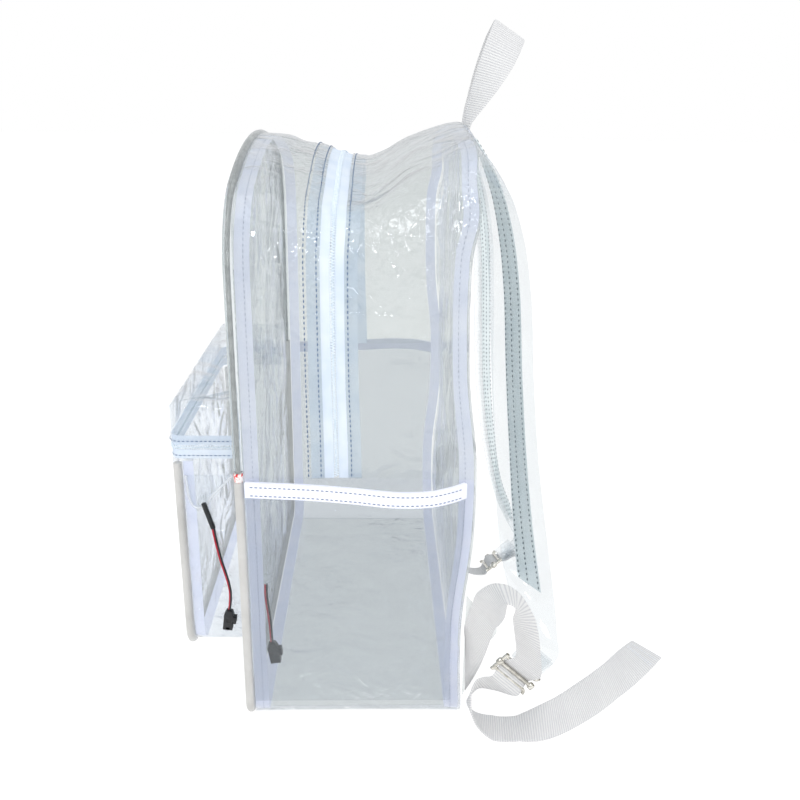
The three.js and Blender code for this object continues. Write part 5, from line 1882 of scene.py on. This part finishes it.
@dataclass
class Webbings(Assembly):
    """White ribbed webbing: the grab loop and both lower pieces, each through its own table."""

    width: float = 25
    thickness: float = 1.5
    rib_pitch: float = 2.2
    rib_depth: float = 0.16
    arch_height: float = 107
    tail_reach: float = 143
    tail_height: float = 25
    loop_spread: float = 17
    loop_lean: float = 30
    loop_rise: float = 73
    loop_foot: float = 384
    cuts: Sequence[float] = (-1, -0.95, -0.85, -0.6, -0.3, 0, 0.3, 0.6, 0.85, 0.95, 1)

    @property
    def glide_reach(self) -> float:
        """How far the right tri-glide stands behind the back plane."""
        return GLIDES[Side.RIGHT].centre.y - self.form.back_plane

    def ribs(self, share: float, run: float) -> float:
        """Share of the thickness at a rib or between two."""
        rib = math.sin(2 * math.pi * run / self.rib_pitch)
        return 1 - self.rib_depth * (0.5 - 0.5 * rib) * (0 if abs(share) > 0.9 else 1)

    def webbing(self, node: str, frames: Sequence[BandFrame]) -> None:
        """Builds one webbing with its ribs."""
        piece = band(f"{node}_weave", frames, self.thickness, self.cuts, self.ribs)
        hand_over(piece, self.finishes.webbing, Slot.WEBBING, node)

    def row(self, side: Side, out: float, reach: float, rise: float, turn: float, tilt: float,
            breadth: float = 1, *, span: tuple[float, float]) -> BandRow:
        """A section given by shares of a reach behind the bag and a height."""
        x = side.value * (self.form.back.half + out * self.width)
        y = self.form.back_plane + reach * span[0]
        return BandRow(x, y, rise * span[1], turn, tilt, breadth * self.width)

    def thread(self, side: Side) -> list[BandRow]:
        """Sections where the webbing runs through its tri-glide."""
        glide, pitch, gap = GLIDES[side], TriGlide.pitch, self.gap
        near = TriGlide.wire + gap + self.thickness / 2
        far = near + TriGlide.keeper_thickness + gap
        steps = [(pitch, far + gap), (pitch / 2, (far - near) / 2 + gap), (0, -near), (-pitch / 2, gap),
                 (-pitch, near + gap)]
        turn, tilt = glide.angles(-1 if side is Side.RIGHT else 1)
        rows = []
        for up, out in steps:
            p = glide.at(0, up, out)
            rows.append(BandRow(p.x, p.y, p.z, turn, tilt, self.width))
        return rows if side is Side.RIGHT else rows[::-1]

    def right(self) -> list[BandRow]:
        """Sections of the right webbing: anchor, arch, tri-glide and free end on the floor."""
        arch = (self.glide_reach, self.arch_height)
        glide = (self.glide_reach, GLIDES[Side.RIGHT].centre.z)
        tail = (self.tail_reach, self.tail_height)
        over = [(0.05, 0.04, 0.43, 90, -88, 1.7), (0.052, 0.2, 0.62, 90, -62, 1.2),
                (0.075, 0.345, 0.8, 90, -50), (0.24, 0.48, 0.92, 35, -24), (0.34, 0.65, 1, 4, 0),
                (0.38, 0.88, 0.967, -8, 4), (0.41, 1.04, 0.84, -48, 22), (0.38, 1.15, 0.655, -80, 40)]
        under = [(0.22, 0.51, 0.835, -48, 50), (0.26, 0.27, 0.835, -17, 46), (0.42, 0.115, 0.6, 0, 40),
                 (0.46, 0.235, 0.26, -3, 20), (0.5, 0.58, 0.065, -6, 0), (0.54, 1.06, 0.068, -3, 0)]
        end = [(0.54, 0.42, 0.4, 0, -33), (-0.02, 0.6, 0.55, 21, -37), (-0.72, 0.773, 0.72, 33, -50),
               (-1.79, 1, 1, 45, -6)]
        return [*[self.row(Side.RIGHT, *r, span=arch) for r in over], *self.thread(Side.RIGHT),
                *[self.row(Side.RIGHT, *r, span=glide) for r in under],
                *[self.row(Side.RIGHT, *r, span=tail) for r in end]]

    def left(self) -> list[BandRow]:
        """Sections of the left webbing: across the back to its tri-glide, with a short end."""
        span = (self.glide_reach, self.arch_height)
        cross = [(0.05, 0.04, 0.43, 90, -88, 1.7), (0.052, 0.23, 0.56, 90, -72, 1.12),
                 (0.06, 0.62, 0.6, 90, -84), (-0.36, 0.87, 0.617, 135, -86),
                 (-1.28, 0.95, 0.58, 180, -82), (-2.48, 0.9, 0.505, 180, -76),
                 (-3.8, 0.76, 0.41, 180, -72), (-4.84, 0.58, 0.31, 172, -58),
                 (-5.56, 0.48, 0.235, 172, -36), (-5.96, 0.56, 0.2, 178, -20)]
        stub = [(-5.84, 1.64, 0.34, -177, -17), (-5.76, 1.84, 0.29, -177, -17),
                (-5.68, 1.94, 0.2, -177, -17), (-5.64, 1.97, 0.1, -177, -17)]
        return [*[self.row(Side.LEFT, *r, span=span) for r in cross], *self.thread(Side.LEFT),
                *[self.row(Side.LEFT, *r, span=span) for r in stub]]

    def loop(self) -> list[BandRow]:
        """Sections of the grab loop, up one side and down the other."""
        table = [(1, 0, 0, 0, 0), (1, 0.05, 0.16, 6, 0), (1, 0.32, 0.4, 30, -5),
                 (0.88, 0.62, 0.66, 55, -14), (0.6, 0.86, 0.88, 76, -26), (0, 1, 1, 90, -32)]
        plane = self.form.back_plane + self.gap + self.thickness / 2
        rows = []
        for sign in (1, -1):
            half = []
            for spread, lean, rise, turn, tilt in table:
                half.append(BandRow(sign * spread * self.loop_spread, plane + lean * self.loop_lean,
                                    self.loop_foot + rise * self.loop_rise,
                                    turn if sign > 0 else 180 - turn, tilt, self.width))
            rows += half if sign > 0 else half[-2::-1]
        return rows

    def build(self) -> None:
        """Builds the three webbings and the stitched hem at the free end."""
        right = band_frames(self.right(), 0.7)
        self.webbing("grab_loop", band_frames(self.loop(), 0.7))
        self.webbing("lower_webbing_right", right)
        self.webbing("lower_webbing_left", band_frames(self.left(), 0.9))
        end = right[-1]
        seams = []
        for back in (4, 9, 10.5):
            here = min(right, key=lambda f: abs(f.run - (end.run - back)))
            for sign in (-1, 1):
                face = here.face * sign
                points = [here.origin + here.across * s * 11 + face * 0.75 for s in between(-1, 1, 0.1)]
                seams.append(Places(points, [face] * len(points)))
        Sewing(pitch=2.2, length=1.7, breadth=0.5).sew(
            "webbing_hem_stitches", seams, self.finishes.white_thread, Slot.WEBBING)


@dataclass
class ShoulderStrap(Assembly):
    """Wide film strap with a strip sewn down its middle."""

    side: Side
    width: float = 52
    thickness: float = 1.2
    strip_width: float = 20
    strip_thickness: float = 1.2
    spread: float = 66
    reach: float = 46
    seam_gap: float = 0.5
    stitch_shares: tuple[float, ...] = (-0.82, -0.1, 0.84)
    stitch_lift: float = 0.62

    def rows(self) -> list[BandRow]:
        """Sections of the strap down to its tri-glide."""
        upper = [(1, 0, 0.98, 0, 0, 0.8), (1.01, 0.17, 0.945, 10, 0, 0.9), (1.04, 0.37, 0.89, 18, 0, 1),
                 (1.1, 0.52, 0.82, 23, 0, 1), (1.16, 0.63, 0.73, 25, 0, 1), (1.27, 0.72, 0.58, 26, 0, 1)]
        lower = {
            Side.RIGHT: [(1.42, 0.81, 0.45, 28, 0, 1), (1.68, 0.9, 0.33, 36, -6, 0.98),
                         (2.04, 0.98, 0.24, 50, -16, 0.84), (2.28, 1.07, 0.19, 70, -27, 0.64)],
            Side.LEFT: [(1.12, 0.76, 0.45, 24, 2, 1), (0.86, 0.85, 0.33, 18, 6, 0.98),
                        (0.55, 1, 0.23, 10, 8, 0.84), (0.31, 1.2, 0.175, 4, 12, 0.66),
                        (0.215, 1.37, 0.14, 2, 16, 0.54)]}
        plane = self.form.back_plane + self.gap + self.thickness / 2
        sign = self.side.value
        rows = []
        for spread, reach, rise, turn, tilt, breadth in [*upper, *lower[self.side]]:
            rows.append(BandRow(sign * spread * self.spread, plane + reach * self.reach,
                                rise * self.form.back.height, turn if sign > 0 else 180 - turn, tilt,
                                breadth * self.width))
        glide = GLIDES[self.side]
        turn, tilt = glide.angles(1)
        for up in (27.9, 13.8):
            p = glide.at(0, up, 0)
            rows.append(BandRow(p.x, p.y, p.z, turn, tilt, TriGlide.keeper_width))
        return rows

    def edge_relief(self, share: float, run: float) -> float:
        """Thickness share of the strap: thin in the middle, thick at its welded edges."""
        return 0.5 + 0.5 * ease(0.86, 0.94, abs(share))

    def build(self) -> None:
        """Builds the strap, its strip and its stitch rows."""
        rows = self.rows()
        cuts = [-1, -0.97, -0.9, -0.84, *between(-0.78, 0.78, 0.13), 0.84, 0.9, 0.97, 1]
        strap = band(f"shoulder_strap_{self.side.word}_film", band_frames(rows, 3), self.thickness,
                     cuts, self.edge_relief)
        hand_over(strap, self.finishes.strap_film, Slot.CLEAR, f"shoulder_strap_{self.side.word}")
        lift = (self.thickness + self.strip_thickness) / 2 + self.seam_gap
        away = -1 if self.side is Side.RIGHT else 1
        strip_rows = [row._replace(width=self.strip_width) for row in rows[:-3]]
        frames = band_frames(strip_rows, 3, away * lift)
        strip = band(f"strap_strip_{self.side.word}_weave", frames, self.strip_thickness,
                     between(-1, 1, 0.125))
        hand_over(strip, self.finishes.strip, Slot.WEBBING, f"strap_strip_{self.side.word}")
        seams = [band_seam(frames, share, self.stitch_lift, sign)
                 for share in self.stitch_shares for sign in (-1, 1)]
        # The strap stitches take the dark finish: painted shade of the needle holes on real stitches.
        Sewing(pitch=3.6, length=1.9, breadth=1.1, height=0.8).sew(
            f"strap_stitches_{self.side.word}", seams, self.finishes.painted_hole_shade_thread, Slot.WEBBING)


@dataclass
class AnchorTab(Assembly):
    """Film triangle sewn into the back seam under a webbing's end."""

    side: Side
    reach: float = 22
    height: float = 80
    bottom: float = 20
    wall: float = field(default=0.9, kw_only=True)

    def build(self) -> None:
        """Builds the tab."""
        edge = Table((0, 0), (0.5, 0.66), (0.66, 1), (0.72, 0.84), (1, 0))
        seam = self.form.back_plane + 0.5
        x = self.side.value * (self.form.back.half - 0.5)
        rows = []
        for rise in between(0, 1, 0.04):
            reach = max(self.reach * edge.at(rise), 0.3)
            z = self.bottom + self.height * rise
            rows.append([Vector((x, seam + reach * s, z)) for s in between(0, 1, 0.1)])
        self.film(f"anchor_tab_{self.side.word}", rows, self.finishes.film, 0)


@dataclass
class Studio:
    """Pale floor, soft lights and the camera."""

    camera_place: Vector = field(default_factory=lambda: Vector((0.6558, 0.01388, 0.41976)))
    yaw: float = -1.73
    pitch: float = 19.92
    roll: float = 0.91
    lens: float = 39.09

    def camera(self) -> None:
        """Adds the camera at the photograph's angle."""
        yaw, pitch, roll = (math.radians(v) for v in (self.yaw, self.pitch, self.roll))
        level = math.cos(pitch)
        ahead = Vector((-math.cos(yaw) * level, -math.sin(yaw) * level, -math.sin(pitch)))
        right = ahead.cross(UP).normalized()
        lift = right.cross(ahead)
        x_axis = right * math.cos(roll) + lift * math.sin(roll)
        y_axis = lift * math.cos(roll) - right * math.sin(roll)
        data = bpy.data.cameras.new("studio_camera")
        data.lens = self.lens
        data.sensor_width = 36
        data.clip_start = 0.01
        camera = bpy.data.objects.new("studio_camera", data)
        turn = Matrix((x_axis, y_axis, -ahead)).transposed().to_4x4()
        camera.matrix_world = Matrix.Translation(self.camera_place) @ turn
        bpy.context.scene.collection.objects.link(camera)
        bpy.context.scene.camera = camera

    def light(self, name: str, place: tuple[float, float, float], size: float, power: float) -> None:
        """Adds a soft square light aimed at the bag."""
        data = bpy.data.lights.new(name, "AREA")
        data.size = size
        data.energy = power
        lamp = bpy.data.objects.new(name, data)
        lamp.location = place
        aim = Vector((0, 0, 0.2)) - Vector(place)
        lamp.rotation_euler = aim.to_track_quat("-Z", "Y").to_euler()
        bpy.context.scene.collection.objects.link(lamp)

    def world(self) -> None:
        """Sets a white backdrop whose light on the bag is a little softer than it looks."""
        world = bpy.data.worlds.new("studio_world")
        world.use_nodes = True
        tree = world.node_tree
        tree.nodes.clear()
        seen = tree.nodes.new("ShaderNodeBackground")
        seen.inputs["Color"].default_value = (1, 1, 1, 1)
        seen.inputs["Strength"].default_value = 1.0
        lit = tree.nodes.new("ShaderNodeBackground")
        lit.inputs["Color"].default_value = (0.97, 0.985, 1, 1)
        lit.inputs["Strength"].default_value = 0.8
        ray = tree.nodes.new("ShaderNodeLightPath")
        mix = tree.nodes.new("ShaderNodeMixShader")
        out = tree.nodes.new("ShaderNodeOutputWorld")
        tree.links.new(ray.outputs["Is Camera Ray"], mix.inputs[0])
        tree.links.new(lit.outputs[0], mix.inputs[1])
        tree.links.new(seen.outputs[0], mix.inputs[2])
        tree.links.new(mix.outputs[0], out.inputs["Surface"])
        bpy.context.scene.world = world

    def floor(self) -> None:
        """Adds a pale floor under the bag."""
        deselect()
        bpy.ops.mesh.primitive_plane_add(size=14, location=(0, 0, -0.0004))
        floor = bpy.context.object
        floor.name = "studio_floor"
        settle()
        recipe = Recipe("studio_floor")
        speck = recipe.grain(3, 2)
        colour = recipe.blend(speck, (0.34, 0.335, 0.33), (0.36, 0.355, 0.35))
        floor.data.materials.append(recipe.close(recipe.node("ShaderNodeBsdfPrincipled", sockets={
            "Base Color": colour, "Roughness": 0.7, "Specular IOR Level": 0.0,
            "Emission Color": (1, 1, 1, 1), "Emission Strength": 0.79})))

    def build(self) -> None:
        """Builds the studio."""
        self.camera()
        self.world()
        self.floor()
        for row in (("key_light", (0.9, -1.3, 1.6), 0.9, 8), ("top_light", (0.2, 0.1, 2.0), 1.4, 4.5),
                    ("rim_light", (-0.7, 1.5, 1.1), 0.8, 4), ("front_window", (1.9, 0.5, 0.9), 0.5, 4),
                    ("glint_high", (1.25, -0.45, 1.3), 0.12, 2.4),
                    ("glint_low", (1.3, 0.75, 0.75), 0.12, 1.8)):
            self.light(*row)
        scene = bpy.context.scene
        scene.view_settings.view_transform = "Standard"
        scene.cycles.transparent_max_bounces = 40


def main() -> None:
    """Builds the backpack piece by piece and the studio round it."""
    logging.basicConfig(level=logging.INFO, format="%(name)s: %(message)s")
    Studio().build()
    form = BagForm()
    finishes = Finishes()
    Leads(finishes).build()
    MainShell(form, finishes).build()
    EdgePiping(form, finishes).build()
    MainZip(form, finishes).build()
    for side in Side:
        SidePocket(form, finishes, side).build()
    FrontPocket(form, finishes).build()
    CableTab(finishes).build()
    for side in Side:
        ShoulderStrap(form, finishes, side).build()
        TriGlide(finishes, side).build()
        AnchorTab(form, finishes, side).build()
    Webbings(form, finishes).build()


if __name__ == "__main__":
    main()
